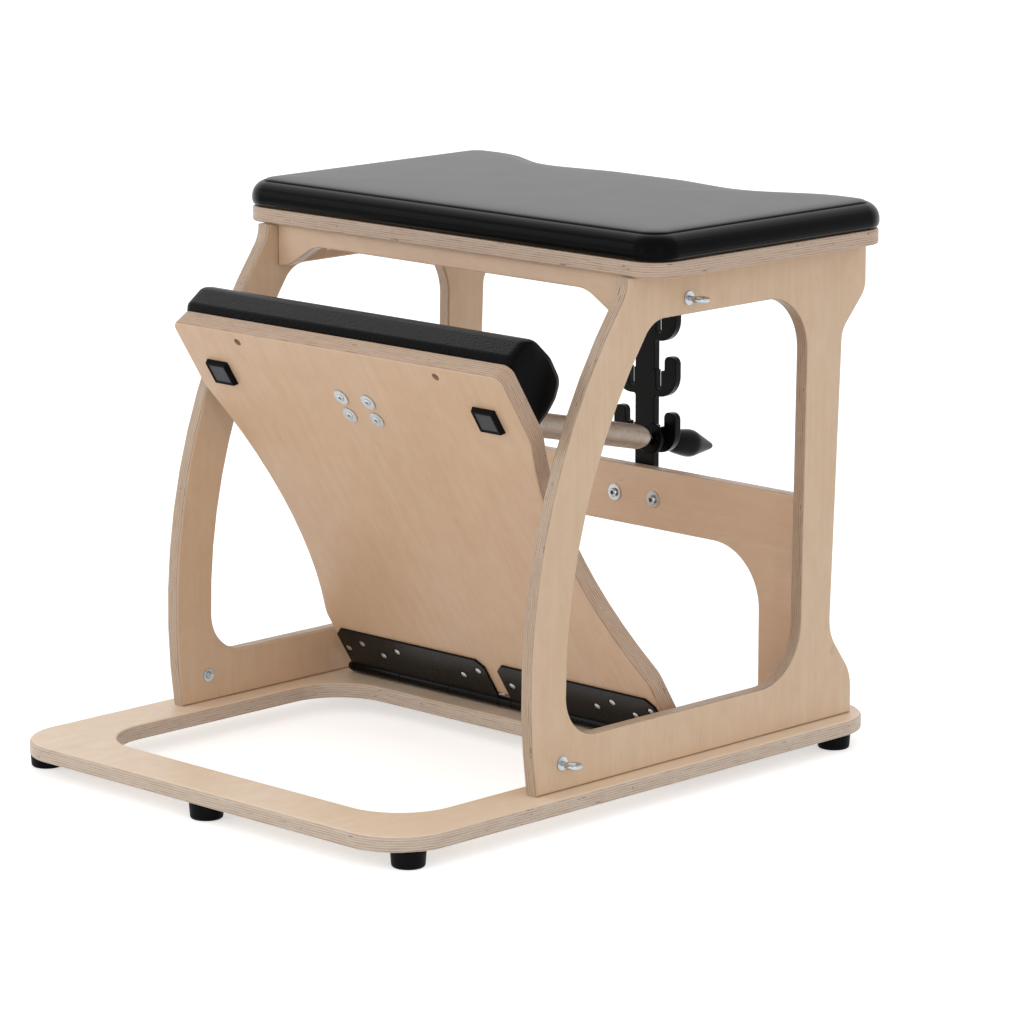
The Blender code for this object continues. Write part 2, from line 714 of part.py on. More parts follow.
def lofted_mesh(rings):
    """A closed skin over rings of points, from the lowest to the highest, with a flat cap on each end."""
    mesh = bpy.data.meshes.new("loft")
    bm = bmesh.new()
    loops = [[bm.verts.new(point) for point in ring] for ring in rings]
    for lower, upper in zip(loops, loops[1:]):
        for i in range(len(lower)):
            bm.faces.new((lower[i - 1], lower[i], upper[i], upper[i - 1]))
    bm.faces.new(list(reversed(loops[0])))
    bm.faces.new(loops[-1])
    bm.to_mesh(mesh)
    bm.free()
    return clean(mesh, math.radians(60))


def seat_pad_mesh():
    """A stretched cover: tucked in under its edge, rounded at the rim and crowned towards the middle."""
    outline = seat_outline(PAD_OVERHANG)
    middle = Vector((0, (SEAT_FRONT_Y + SEAT_DIP_Y) / 2))
    bottom = SEAT_TOP + GAP
    rim = bottom + PAD_SIDE
    edge_steps = 3
    rings = [(PAD_TUCK, bottom), (0, bottom + 2 * PAD_TUCK)]
    for i in range(edge_steps + 1):
        angle = math.pi / 2 * i / edge_steps
        rings.append((PAD_EDGE * (1 - math.cos(angle)), rim - PAD_EDGE * (1 - math.sin(angle))))
    loops = [[(x, y, z) for x, y in inset(outline, distance)] for distance, z in rings]
    last = loops[-1]
    for shrink, rise in PAD_CROWN_RINGS:
        ring = [middle + (Vector((x, y)) - middle) * shrink for x, y, z in last]
        loops.append([(p.x, p.y, rim + PAD_CROWN * rise) for p in ring])
    return lofted_mesh(loops)


node("seat_pad", seat_pad_mesh(), VINYL, frame)

foot_spots = {
    "foot_front_left": (-(BASE_WIDTH / 2 - FOOT_SIDE_INSET), FOOT_FRONT_INSET - BASE_DEPTH / 2),
    "foot_front_middle": (0, FOOT_MIDDLE_INSET - BASE_DEPTH / 2),
    "foot_front_right": (BASE_WIDTH / 2 - FOOT_SIDE_INSET, FOOT_FRONT_INSET - BASE_DEPTH / 2),
    "foot_rear_left": (-(BASE_WIDTH / 2 - FOOT_SIDE_INSET), BASE_DEPTH / 2 - FOOT_REAR_INSET),
    "foot_rear_right": (BASE_WIDTH / 2 - FOOT_SIDE_INSET, BASE_DEPTH / 2 - FOOT_REAR_INSET),
}
foot_hole = clear(FOOT_SCREW_RADIUS, FOOT_SIDES)
foot_recess = clear(FOOT_SCREW_HEAD, FOOT_SIDES)
foot_profile = [
    (foot_hole, FOOT_HEIGHT),
    (FOOT_RADIUS, FOOT_HEIGHT),
    (FOOT_RADIUS, FOOT_CHAMFER),
    (FOOT_RADIUS - FOOT_CHAMFER, 0),
    (foot_recess, 0),
    (foot_recess, FOOT_RECESS_DEPTH),
    (foot_hole, FOOT_RECESS_DEPTH),
]
foot = turned_mesh(foot_profile, FOOT_SIDES, closed=True)
for name, (x, y) in foot_spots.items():
    node(name, foot, RUBBER, frame, (x, y, 0))


def hook_plate_outline():
    """A bolted foot, a post, and hooks on both sides whose mouths open upwards onto narrow slots."""
    foot = HOOK_FLANGE / 2
    post = HOOK_POST / 2
    mouth = post + HOOK_MOUTH
    corner = HOOK_FLANGE_TOP_DROP
    foot_top = CROSSBAR_TOP - HOOK_FLANGE_TOP_DROP
    right = [(foot, foot_top - HOOK_FLANGE_DROP, corner), (foot, foot_top, corner), (post, foot_top, 0)]
    for k in range(HOOK_COUNT):
        top = FIRST_HOOK_TOP + k * HOOK_PITCH
        floor = (SPRING_X, top - HOOK_SLOT_DEPTH + HOOK_SLOT_HALF)
        right += [
            (post, top - HOOK_HEIGHT, 0),
            (HOOK_REACH, top - HOOK_HEIGHT, HOOK_HEEL_FILLET),
            (HOOK_REACH, top, HOOK_TIP_FILLET),
            (mouth, top, HOOK_TIP_FILLET),
            (mouth, top - HOOK_MOUTH_DEPTH, 0),
            (SPRING_X + HOOK_SLOT_HALF, top - HOOK_MOUTH_DEPTH, 0),
        ]
        right += [(x, z, 0) for x, z in arc(floor, HOOK_SLOT_HALF, 0, -math.pi, 6)]
        right += [(SPRING_X - HOOK_SLOT_HALF, top - HOOK_MOUTH_DEPTH, 0), (post, top - HOOK_MOUTH_DEPTH, 0)]
    right.append((post, FIRST_HOOK_TOP + (HOOK_COUNT - 1) * HOOK_PITCH + HOOK_TOP_MARGIN, corner))
    return rounded(right + [(-x, z, r) for x, z, r in reversed(right)])


hook_bolt_hole = circle((0, 0), clear(BOLT_RADIUS, ROUND_SIDES), ROUND_SIDES)
hook_bolt_x = {"left": -HOOK_BOLT_X, "right": HOOK_BOLT_X}
hook_outlines = [hook_plate_outline()]
hook_outlines += [[(x + a, HOOK_BOLT_Z + b) for a, b in hook_bolt_hole] for x in hook_bolt_x.values()]
node("hook_plate", sheet_mesh(hook_outlines, HOOK_PLATE), POWDER_COAT, frame,
     (0, HOOK_FRONT_Y + HOOK_PLATE / 2, 0), FACING_Y)


def on_hook_bolts(kind, direction, y):
    """Names and places for one piece on each of the hook plate's two bolts."""
    return {
        f"hook_plate_{kind}_{side}": facing(direction, (x, y, HOOK_BOLT_Z))
        for side, x in hook_bolt_x.items()
    }


hook_bolt_length = WASHER + PLY + HOOK_PLATE + 4 * GAP + NUT + BOLT_PROUD
hook_bolt_profile = screw_profile(BOLT_HEAD, BOLT_HEAD_HEIGHT, BOLT_RADIUS, hook_bolt_length)
hook_bolt = turned_mesh(hook_bolt_profile, ROUND_SIDES)
copies(hook_bolt, ZINC, frame, on_hook_bolts("bolt", FORWARD, CROSSBAR_FRONT_Y - 2 * GAP - WASHER))
copies(washer_mesh(BOLT_RADIUS), ZINC, frame, on_hook_bolts("washer", FORWARD, CROSSBAR_FRONT_Y - GAP))
copies(nut_mesh(BOLT_RADIUS), ZINC, frame, on_hook_bolts("nut", REAR, HOOK_REAR_Y + GAP))
hook_holes = gathered(turned_mesh(rod_profile(clear(BOLT_RADIUS, ROUND_SIDES), PLY, -PLY), ROUND_SIDES),
                      on_hook_bolts("hole", REAR, CROSSBAR_FRONT_Y + PLY / 2).values())
combine(rear_crossbar, cutter("hook_bolt_holes", hook_holes, frame), "DIFFERENCE")


def eyebolt_path(thread):
    """A bent wire: a straight thread, then an eye that almost closes on it. X points out of the panel."""
    start = EYE_STANDOFF - EYE_LOOP
    loop = arc((EYE_STANDOFF, 0), EYE_LOOP, math.pi, math.pi + math.tau - EYE_OPENING, EYE_LOOP_POINTS)
    return [(-thread, 0, 0), (start - EYE_WIRE, 0, 0)] + [(x, y, 0) for x, y in loop]


eyebolt_thread = PLY + GAP + WASHER + NUT + BOLT_PROUD
eyebolt_low_y = front_arc_y(FRONT_ARC_RADIUS, BASE_TOP + EYEBOLT_LOWER_RISE) + EYEBOLT_LOWER_SETBACK
eyebolt_spots = {
    "lower": (eyebolt_low_y, EYEBOLT_LOWER_RISE),
    "upper": (PANEL_FRONT_Y + EYEBOLT_UPPER_SETBACK, EYEBOLT_UPPER_RISE),
}
eyebolt_places = {}
for side, side_name in ((-1, "left"), (1, "right")):
    for level, (y, rise) in eyebolt_spots.items():
        half_turn = Matrix.Rotation(0 if side > 0 else math.pi, 4, "Z")
        spot = Matrix.Translation((side * PANEL_OUTER, y, BASE_TOP + rise)) @ half_turn
        eyebolt_places[f"{level}_{side_name}"] = spot
        tube_object(f"eyebolt_{level}_{side_name}", eyebolt_path(eyebolt_thread), EYE_WIRE, ZINC, frame,
                    spot.to_translation(), spot.to_euler())


def on_eyebolts(direction, x):
    """A place on each eyebolt, x out from the panel's outer face."""
    return {key: spot @ facing(direction, (x, 0, 0)) for key, spot in eyebolt_places.items()}


washer_places = {f"eyebolt_washer_{key}": spot for key, spot in on_eyebolts(RIGHT, GAP).items()}
nut_places = {f"eyebolt_nut_{key}": spot for key, spot in on_eyebolts(-RIGHT, -PLY - GAP).items()}
copies(washer_mesh(EYE_WIRE), ZINC, frame, washer_places)
copies(flange_nut_mesh(EYE_WIRE), ZINC, frame, nut_places)
eyebolt_hole = turned_mesh(rod_profile(clear(EYE_WIRE, ROUND_SIDES), PLY, -PLY), ROUND_SIDES)
eyebolt_holes = cutter("eyebolt_holes", gathered(eyebolt_hole, on_eyebolts(RIGHT, -PLY / 2).values()), frame)
for panel in side_panels.values():
    combine(panel, eyebolt_holes, "DIFFERENCE")


def pedal_outline():
    """Straight at its foot, waisted in one big arc up both sides, straight again beside the pad."""
    low = PEDAL_WIDTH / 2
    wide = PEDAL_SHOULDER / 2
    waist = PEDAL_WAIST / 2
    half_chord = (PEDAL_SHOULDER_HIGH - PEDAL_SHOULDER_LOW) / 2
    sag = wide - waist
    radius = (half_chord ** 2 + sag ** 2) / (2 * sag)
    centre = (waist + radius, (PEDAL_SHOULDER_LOW + PEDAL_SHOULDER_HIGH) / 2)
    reach = math.asin(half_chord / radius)
    right = [(low, PEDAL_START, 0)]
    right += [(x, y, 0) for x, y in arc(centre, radius, math.pi + reach, math.pi - reach, 12)]
    right.append((low, PEDAL_TOP, PEDAL_CORNER))
    return rounded(right + [(-x, y, r) for x, y, r in reversed(right)])


pedal_board = node("pedal_board", sheet_mesh([pedal_outline()], PEDAL_PLY, PLY_CHAMFER), BIRCH, pedal_axis,
                   (0, 0, (PEDAL_FRONT + PEDAL_REAR) / 2))


def pedal_pad_section():
    """The pad's section: up the board, and height above the board's rear face. It leans over the top edge."""
    top = PEDAL_TOP - PEDAL_PAD_TOP
    seat = PEDAL_REAR - GAP
    return rounded([
        (top + along * PEDAL_PAD_LENGTH, seat - rise * PEDAL_PAD_HEIGHT, fillet)
        for (along, rise), fillet in zip(PEDAL_PAD_SHAPE, PEDAL_PAD_FILLETS)
    ])


pedal_pad = node("pedal_pad", sheet_mesh([pedal_pad_section()], PEDAL_PAD_WIDTH, PEDAL_PAD_ROUND, 1), VINYL,
                 pedal_axis, (0, 0, 0), FACING_X)


def on_pad_screws(depth):
    """Names and places for the two screws that hold the pedal's pad, that far behind the board's front."""
    up = PEDAL_TOP - PAD_SCREW_DROP
    return {
        f"pedal_pad_screw_{name}": facing(UP, (side * PAD_SCREW_X, up, PEDAL_FRONT - depth))
        for side, name in ((-1, "left"), (1, "right"))
    }


pad_grip = PEDAL_PLY - PAD_SCREW_SINK + PAD_SCREW_GRIP
pad_screw = screw_profile(PAD_SCREW_HEAD, PAD_SCREW_HEAD_HEIGHT, PAD_SCREW_RADIUS, pad_grip)
pad_hole = hole_profile(PAD_SCREW_HEAD, 2 * PAD_SCREW_SINK, PAD_SCREW_RADIUS, pad_grip + GAP)
pad_hole_group = gathered(turned_mesh(pad_hole, SCREW_SIDES), on_pad_screws(PAD_SCREW_SINK).values())
pad_holes = cutter("pad_screw_holes", pad_hole_group, pedal_axis)
combine(pedal_board, pad_holes, "DIFFERENCE")
combine(pedal_pad, pad_holes, "DIFFERENCE")
copies(turned_mesh(pad_screw, SCREW_SIDES), ZINC, pedal_axis, on_pad_screws(PAD_SCREW_SINK - GAP))


def bumper_mesh():
    """A tapered rubber block whose face is set in behind a rim."""
    bm = bmesh.new()
    size = Matrix.Diagonal((BUMPER_WIDTH, BUMPER_LENGTH, BUMPER_HEIGHT, 1))
    bmesh.ops.create_cube(bm, size=1, matrix=Matrix.Translation((0, 0, BUMPER_HEIGHT / 2)) @ size)
    top = [v for v in bm.verts if v.co.z > BUMPER_HEIGHT / 2]
    for v in top:
        v.co.x -= math.copysign(BUMPER_TAPER, v.co.x)
        v.co.y -= math.copysign(BUMPER_TAPER, v.co.y)
    face = [f for f in bm.faces if f.normal.z > 0.5]
    bmesh.ops.inset_region(bm, faces=face, thickness=BUMPER_INSET, depth=0)
    bmesh.ops.translate(bm, verts=face[0].verts, vec=(0, 0, -BUMPER_HEIGHT / 10))
    mesh = bpy.data.meshes.new("bumper")
    bm.to_mesh(mesh)
    bm.free()
    return clean(mesh)


for side, name in ((-1, "left"), (1, "right")):
    node(f"bumper_{name}", bumper_mesh(), RUBBER, pedal_axis,
         (side * BUMPER_X, PEDAL_TOP - BUMPER_DROP, PEDAL_FRONT + GAP))

# Hinge: the pedal's two leaves share the barrel with the base's leaf, which has the middle knuckles
hinge_half = HINGE_WIDTH / 2
parting = HINGE_PARTING / 2
third = (hinge_half - parting) / 3
bore = clear(HINGE_PIN_RADIUS, ROUND_SIDES)
tongue = LEAF_SETBACK + 2 * LEAF


def knuckle_outline(low, high, sides=10):
    """A barrel with a tongue towards +X whose faces are at two heights; the lower may be below the barrel."""
    start = math.asin(high / KNUCKLE_RADIUS)
    under = max(low, -KNUCKLE_RADIUS)
    end = math.tau + math.asin(under / KNUCKLE_RADIUS)
    outline = [(tongue, low), (tongue, high)] + arc((0, 0), KNUCKLE_RADIUS, start, end, sides)
    if low < -KNUCKLE_RADIUS:
        outline.append((0, low))
    return outline


def knuckles_mesh(outline, spans):
    """Knuckles along X, one for each span."""
    bm = bmesh.new()
    for start, end in spans:
        length = end - start - 2 * GAP
        mesh = sheet_mesh([outline, circle((0, 0), bore, ROUND_SIDES)], length)
        mesh.transform(Matrix.Translation(((start + end) / 2, 0, 0)) @ facing_x)
        bm.from_mesh(mesh)
        bpy.data.meshes.remove(mesh)
    made = bpy.data.meshes.new("knuckles")
    bm.to_mesh(made)
    bm.free()
    return clean(made)


facing_x = Matrix(((0, 0, 1, 0), (1, 0, 0, 0), (0, 1, 0, 0), (0, 0, 0, 1)))
low_up, high_up = LEAF_TOP - LEAF_SCREWS_LOW, LEAF_TOP - LEAF_SCREWS_HIGH
left_rows = (high_up, low_up, high_up, low_up, high_up, low_up)
right_rows = (low_up, high_up, low_up, high_up, low_up, high_up)
leaf_screws = [(-x, up) for x, up in zip(LEAF_SCREW_X, left_rows)]
leaf_screws += [(x, up) for x, up in zip(LEAF_SCREW_X, right_rows)]
screw_hole = rod_profile(clear(HINGE_SCREW_RADIUS, SCREW_SIDES), LEAF, -LEAF - HINGE_SCREW_GRIP)
leaf_hole = turned_mesh(screw_hole, SCREW_SIDES)
leaf_hole_group = gathered(leaf_hole, [facing(UP, (x, up, LEAF / 2)) for x, up in leaf_screws])
leaf_holes = cutter("hinge_leaf_holes", leaf_hole_group, pedal_axis)
combine(pedal_board, leaf_holes, "DIFFERENCE")
tongue_half = LEAF / 2 - UNION_TRIM
for side, name in ((-1, "left"), (1, "right")):
    x0, x1 = sorted((side * parting, side * hinge_half))
    chamfered = [
        (x0, LEAF_SETBACK), (x1, LEAF_SETBACK), (x1, LEAF_TOP - LEAF_CORNER), (x1 - LEAF_CORNER, LEAF_TOP),
        (x0 + LEAF_CORNER, LEAF_TOP), (x0, LEAF_TOP - LEAF_CORNER),
    ]
    leaf = node(f"hinge_leaf_{name}", sheet_mesh([chamfered], LEAF), POWDER_COAT, pedal_axis)
    spans = [(x0, x0 + third), (x1 - third, x1)]
    barrels = cutter(f"hinge_leaf_{name}_barrels",
                     knuckles_mesh(knuckle_outline(-tongue_half, tongue_half), spans), pedal_axis)
    combine(leaf, barrels, "UNION")
    combine(leaf, leaf_holes, "DIFFERENCE")

base_leaf_low = BASE_TOP + GAP - HINGE_Z
base_leaf_outline = [
    (-hinge_half, LEAF_SETBACK),
    (hinge_half, LEAF_SETBACK),
    (hinge_half, BASE_LEAF_DEPTH),
    (-hinge_half, BASE_LEAF_DEPTH),
]
base_leaf = node("hinge_base_leaf", sheet_mesh([base_leaf_outline], LEAF), POWDER_COAT, frame,
                 (0, HINGE_Y, BASE_TOP + GAP + LEAF / 2))
base_spans = [
    (third - hinge_half, -parting - third),
    (-parting, parting),
    (parting + third, hinge_half - third),
]
base_tongue = knuckle_outline(base_leaf_low + UNION_TRIM, base_leaf_low + LEAF - UNION_TRIM)
base_knuckles = knuckles_mesh(base_tongue, base_spans)
base_barrels = cutter("hinge_base_barrels", base_knuckles, frame, (0, HINGE_Y, HINGE_Z))
combine(base_leaf, base_barrels, "UNION")
base_leaf_spots = [(side * x, HINGE_Y + back) for side in (-1, 1) for x, back in BASE_LEAF_SCREWS]
base_hole_group = gathered(leaf_hole, [facing(UP, (x, y, BASE_TOP + GAP + LEAF)) for x, y in base_leaf_spots])
base_leaf_holes = cutter("hinge_base_holes", base_hole_group, frame)
combine(base_leaf, base_leaf_holes, "DIFFERENCE")
combine(base_board, base_leaf_holes, "DIFFERENCE")


def headed_pin(radius, head_radius, head_height, half):
    """A pin with a flat head, along Z, with the head just past what it holds together."""
    seat = -half - GAP
    return turned_mesh([
        (0, half + BRACKET_PIN_STUB),
        (radius, half + BRACKET_PIN_STUB),
        (radius, seat),
        (head_radius, seat),
        (head_radius, seat - head_height),
        (0, seat - head_height),
    ], ROUND_SIDES)


hinge_pin = headed_pin(HINGE_PIN_RADIUS, HINGE_PIN_HEAD, HINGE_PIN_HEAD, hinge_half)
node("hinge_pin", hinge_pin, POWDER_COAT, frame, (0, HINGE_Y, HINGE_Z), (0, math.pi / 2, 0))


def bracket_mesh():
    """The bracket's foot, a plate that lies on the pedal's rear face."""
    half = BRACKET_WIDTH / 2
    corners = [(-half, BRACKET_LOW), (half, BRACKET_LOW), (half, BRACKET_HIGH), (-half, BRACKET_HIGH)]
    foot = rounded([(x, up, BRACKET_STEEL) for x, up in corners], math.radians(45))
    hole = clear(BRACKET_BOLT_RADIUS, ROUND_SIDES)
    holes = [circle((0, up), hole, ROUND_SIDES) for up in BRACKET_BOLTS_UP]
    return sheet_mesh([foot] + holes, BRACKET_STEEL)


def ears_mesh():
    """Two round-ended ears with the pin's hole, standing on the foot."""
    root = PEDAL_REAR - GAP - BRACKET_STEEL / 2
    pin = (BRACKET_PIN_UP, PIN_FRONT)
    outline = [(BRACKET_PIN_UP - BRACKET_EAR_HALF, root)]
    outline += arc(pin, BRACKET_EAR_HALF, math.pi, math.tau, 8)
    outline.append((BRACKET_PIN_UP + BRACKET_EAR_HALF, root))
    hole = circle(pin, clear(BRACKET_PIN_RADIUS, ROUND_SIDES), ROUND_SIDES)
    ear = sheet_mesh([outline, hole], BRACKET_STEEL)
    ear.transform(facing_x)
    offset = (BRACKET_EAR_GAP + BRACKET_STEEL) / 2
    return gathered(ear, [Matrix.Translation((side * offset, 0, 0)) for side in (-1, 1)])


bracket_x = {"left": -SPRING_X, "right": SPRING_X}
for name, x in bracket_x.items():
    bracket = node(f"spring_bracket_{name}", bracket_mesh(), POWDER_COAT, pedal_axis,
                   (x, 0, PEDAL_REAR - GAP - BRACKET_STEEL / 2))
    combine(bracket, cutter(f"spring_bracket_{name}_ears", ears_mesh(), pedal_axis, (x, 0, 0)), "UNION")
ears_half = BRACKET_EAR_GAP / 2 + BRACKET_STEEL
bracket_pin = headed_pin(BRACKET_PIN_RADIUS, BRACKET_PIN_HEAD, BRACKET_PIN_STUB, ears_half)
pin_places = {
    f"bracket_pin_{name}": facing(RIGHT, (x, BRACKET_PIN_UP, PIN_FRONT)) for name, x in bracket_x.items()
}
copies(bracket_pin, ZINC, pedal_axis, pin_places)


def on_bracket_bolts(kind, direction, front):
    """Names and places for one piece on each of the four bolts through the pedal board."""
    return {
        f"{kind}_{side}_{level}": facing(direction, (x, up, front))
        for side, x in bracket_x.items()
        for up, level in zip(BRACKET_BOLTS_UP, ("lower", "upper"))
    }


bracket_bolt_length = PEDAL_PLY + BRACKET_STEEL + 3 * GAP + NUT + BOLT_PROUD
bolt_profile = screw_profile(BOLT_HEAD, BRACKET_BOLT_HEAD, BRACKET_BOLT_RADIUS, bracket_bolt_length)
washer_rim = [(BOLT_HEAD, WASHER), (WASHER_RADIUS, WASHER), (WASHER_RADIUS, 0)]
bracket_bolt = turned_mesh(bolt_profile[:3] + washer_rim + bolt_profile[4:], ROUND_SIDES)
nut_seat = PEDAL_REAR - 2 * GAP - BRACKET_STEEL
copies(bracket_bolt, ZINC, pedal_axis, on_bracket_bolts("bracket_bolt", UP, PEDAL_FRONT + GAP))
copies(nut_mesh(BRACKET_BOLT_RADIUS), ZINC, pedal_axis, on_bracket_bolts("bracket_nut", DOWN, nut_seat))
bracket_rod = rod_profile(clear(BRACKET_BOLT_RADIUS, ROUND_SIDES), PEDAL_PLY, -PEDAL_PLY)
bracket_hole = turned_mesh(bracket_rod, ROUND_SIDES)
bracket_holes = gathered(bracket_hole, on_bracket_bolts("hole", UP, (PEDAL_FRONT + PEDAL_REAR) / 2).values())
combine(pedal_board, cutter("bracket_bolt_holes", bracket_holes, pedal_axis), "DIFFERENCE")


def box_mesh(low, high):
    """A plain box between two corners."""
    bm = bmesh.new()
    low, high = Vector(low), Vector(high)
    size = Matrix.Diagonal((*(high - low), 1))
    bmesh.ops.create_cube(bm, size=1, matrix=Matrix.Translation((low + high) / 2) @ size)
    mesh = bpy.data.meshes.new("box")
    bm.to_mesh(mesh)
    bm.free()
    return mesh


# The pad's base is hollowed where the brackets' upper ends and nuts lie under it
pocket_half = BRACKET_WIDTH / 2 + POCKET_MARGIN
pocket_depth = BRACKET_STEEL + NUT + BOLT_PROUD + 2 * POCKET_MARGIN
pockets = box_mesh((-pocket_half, BRACKET_LOW, PEDAL_REAR - pocket_depth),
                   (pocket_half, BRACKET_HIGH + POCKET_MARGIN, PEDAL_REAR + POCKET_MARGIN))
pockets = gathered(pockets, [Matrix.Translation((x, 0, 0)) for x in bracket_x.values()])
combine(pedal_pad, cutter("pedal_pad_pockets", pockets, pedal_axis), "DIFFERENCE")

# Spring, along Z of its own frame: the pivot is at zero, the handle above it and the coil below
disc_front = -DISC_BACK - DISC_THICKNESS
coil_rear = disc_front - GAP
collar_front = COLLAR_START - SPRING_LENGTH
coil_front = collar_front + COLLAR_LENGTH + GAP


def coil_path():
    """A close helix whose ends run straight for one wire diameter, square to what they meet."""
    radius = COIL_RADIUS - COIL_WIRE / 2
    start = coil_front + 1.5 * COIL_WIRE
    end = coil_rear - 1.5 * COIL_WIRE
    steps = COIL_CURLS * COIL_POINTS
    turns = []
    for i in range(steps + 1):
        angle = math.tau * i / COIL_POINTS
        turns.append((radius * math.cos(angle), radius * math.sin(angle), start + (end - start) * i / steps))
    last = turns[-1]
    return [(radius, 0, coil_front), (radius, 0, coil_front + COIL_WIRE)] + turns + [
        (last[0], last[1], coil_rear - COIL_WIRE), (last[0], last[1], coil_rear)]


coil = coil_path()
tube_object("spring_coil", coil, COIL_WIRE / 2, SPRING_STEEL, spring_axis)
turn_points = [Vector(point) for point in coil[2:-2]]
curl_gap = min((a - b).length for a, b in zip(turn_points, turn_points[COIL_POINTS:])) - COIL_WIRE
print(f"spring coil: {COIL_CURLS} curls, least gap between curls {curl_gap * 1000:.2f} mm")

socket = clear(NECK_RADIUS, ROUND_SIDES)
disc_profile = [
    (socket, -DISC_BACK),
    (DISC_RADIUS - GAP, -DISC_BACK),
    (DISC_RADIUS, -DISC_BACK - GAP),
    (DISC_RADIUS, disc_front),
    (DISC_BOSS_RADIUS, disc_front),
    (DISC_BOSS_RADIUS, disc_front - DISC_BOSS),
    (0, disc_front - DISC_BOSS),
    (0, -DISC_BACK - SOCKET_DEPTH),
    (socket, -DISC_BACK - SOCKET_DEPTH),
]
node("spring_rear_disc", turned_mesh(disc_profile, SPRING_SIDES, closed=True), BLACK_PLASTIC, spring_axis)
neck_top = HANDLE_START + SOCKET_DEPTH - GAP
neck_bottom = -DISC_BACK - SOCKET_DEPTH + GAP
neck = turned_mesh(rod_profile(NECK_RADIUS, neck_top, neck_bottom), ROUND_SIDES)
node("spring_neck", neck, ZINC, spring_axis)
socket_end = HANDLE_START + SOCKET_DEPTH
handle_profile = [(0, socket_end), (0, HANDLE_START + HANDLE_LENGTH)]
handle_profile += [
    (HANDLE_RADIUS * width, HANDLE_START + HANDLE_LENGTH * along) for width, along in HANDLE_SHAPE
]
handle_profile += [(HANDLE_NECK_RADIUS, HANDLE_START), (socket, HANDLE_START), (socket, socket_end)]
node("spring_handle", turned_mesh(handle_profile, SPRING_SIDES, closed=True), BLACK_PLASTIC, spring_axis)
collar_profile = ring_profile(COLLAR_BORE, COLLAR_RADIUS, collar_front + COLLAR_LENGTH, collar_front)
collar = turned_mesh(collar_profile, SPRING_SIDES, closed=True)
node("spring_front_collar", collar, BLACK_PLASTIC, spring_axis)

# The eye turns on the bracket's pin; its shank reaches into the coil and is clear of the collar all round
eye_profile = ring_profile(clear(BRACKET_PIN_RADIUS, ROUND_SIDES), EYE_RADIUS, EYE_WIDTH / 2, -EYE_WIDTH / 2)
eye = node("spring_eye", turned_mesh(eye_profile, ROUND_SIDES, closed=True), ZINC, pin_axis,
           (0, 0, 0), (0, math.pi / 2, 0))
shank_root = (clear(BRACKET_PIN_RADIUS, ROUND_SIDES) + EYE_RADIUS) / 2
shank = turned_mesh(rod_profile(SHANK_RADIUS, SHANK_LENGTH, shank_root), ROUND_SIDES)
combine(eye, cutter("eye_shank", shank, pin_axis), "UNION")

bpy.context.view_layer.update()
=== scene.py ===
"""A pilates chair: birch plywood boards, black vinyl pads, coated steel and a wound spring."""

import json
import math

import bmesh
import bpy
from mathutils import Euler, Matrix, Vector


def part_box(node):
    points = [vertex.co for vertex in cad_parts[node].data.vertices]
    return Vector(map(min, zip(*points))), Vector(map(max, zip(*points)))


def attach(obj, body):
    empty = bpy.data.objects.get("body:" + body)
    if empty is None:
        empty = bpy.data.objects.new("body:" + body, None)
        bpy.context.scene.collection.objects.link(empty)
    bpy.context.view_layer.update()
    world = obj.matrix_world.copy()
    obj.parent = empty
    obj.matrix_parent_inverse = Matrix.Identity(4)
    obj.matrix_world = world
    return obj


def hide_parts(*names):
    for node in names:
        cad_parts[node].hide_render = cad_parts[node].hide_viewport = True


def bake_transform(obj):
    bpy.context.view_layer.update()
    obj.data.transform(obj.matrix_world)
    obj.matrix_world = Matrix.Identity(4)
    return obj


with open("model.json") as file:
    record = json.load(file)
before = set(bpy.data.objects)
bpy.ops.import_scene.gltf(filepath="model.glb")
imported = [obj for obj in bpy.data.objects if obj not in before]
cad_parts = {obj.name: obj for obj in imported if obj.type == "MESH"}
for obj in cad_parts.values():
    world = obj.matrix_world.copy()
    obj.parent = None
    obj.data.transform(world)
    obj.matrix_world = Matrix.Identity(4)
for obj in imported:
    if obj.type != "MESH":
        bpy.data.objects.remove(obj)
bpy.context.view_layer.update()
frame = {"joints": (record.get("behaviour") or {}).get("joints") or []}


# Base board: one sheet of 18 mm birch plywood, routed into a frame that leaves the floor open for the feet.
# Its rear edge is cut away between the crossbar's legs. A router rounds its edges, and clear satin lacquer
# leaves the plies to show as fine stripes all round.
BOARD_EASE = 0.0030
BASE_EASE = 0.0045
BASE_LOWER_EASE = 0.0015
BASE_CORNER = 0.0736
OPENING_FRONT_RAIL = 0.0757
OPENING_SIDE_RAIL = 0.073
OPENING_REAR_Y = 0.065
OPENING_CORNER = 0.073
REAR_CUT_Y = 0.190
REAR_CUT_FILLET = 0.060
REAR_CUT_MOUTH = 0.015
CROSSBAR_LEG = 0.0845
PLIES_18 = 13
PLY_SPREAD = 0.975
EASE_STEPS = 4
WELD = 1e-6

base_low, base_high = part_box("base_board")
MID_Y = (base_low.y + base_high.y) / 2
PLY = base_high.z - base_low.z


def linear(hexa):
    """A linear colour from an sRGB hex value."""
    parts = [int(hexa[i:i + 2], 16) / 255 for i in (0, 2, 4)]
    return (*[p / 12.92 if p <= 0.04045 else ((p + 0.055) / 1.055) ** 2.4 for p in parts], 1.0)


def add(tree, kind, inputs=None, out=0, **settings):
    """Adds a node with its settings and links, where an input is a value or another node's output, and gives
    one of its outputs."""
    made = tree.nodes.new(kind)
    for key, value in settings.items():
        setattr(made, key, value)
    for key, value in (inputs or {}).items():
        if isinstance(value, bpy.types.NodeSocket):
            tree.links.new(value, made.inputs[key])
        else:
            made.inputs[key].default_value = value
    return made.outputs[out]


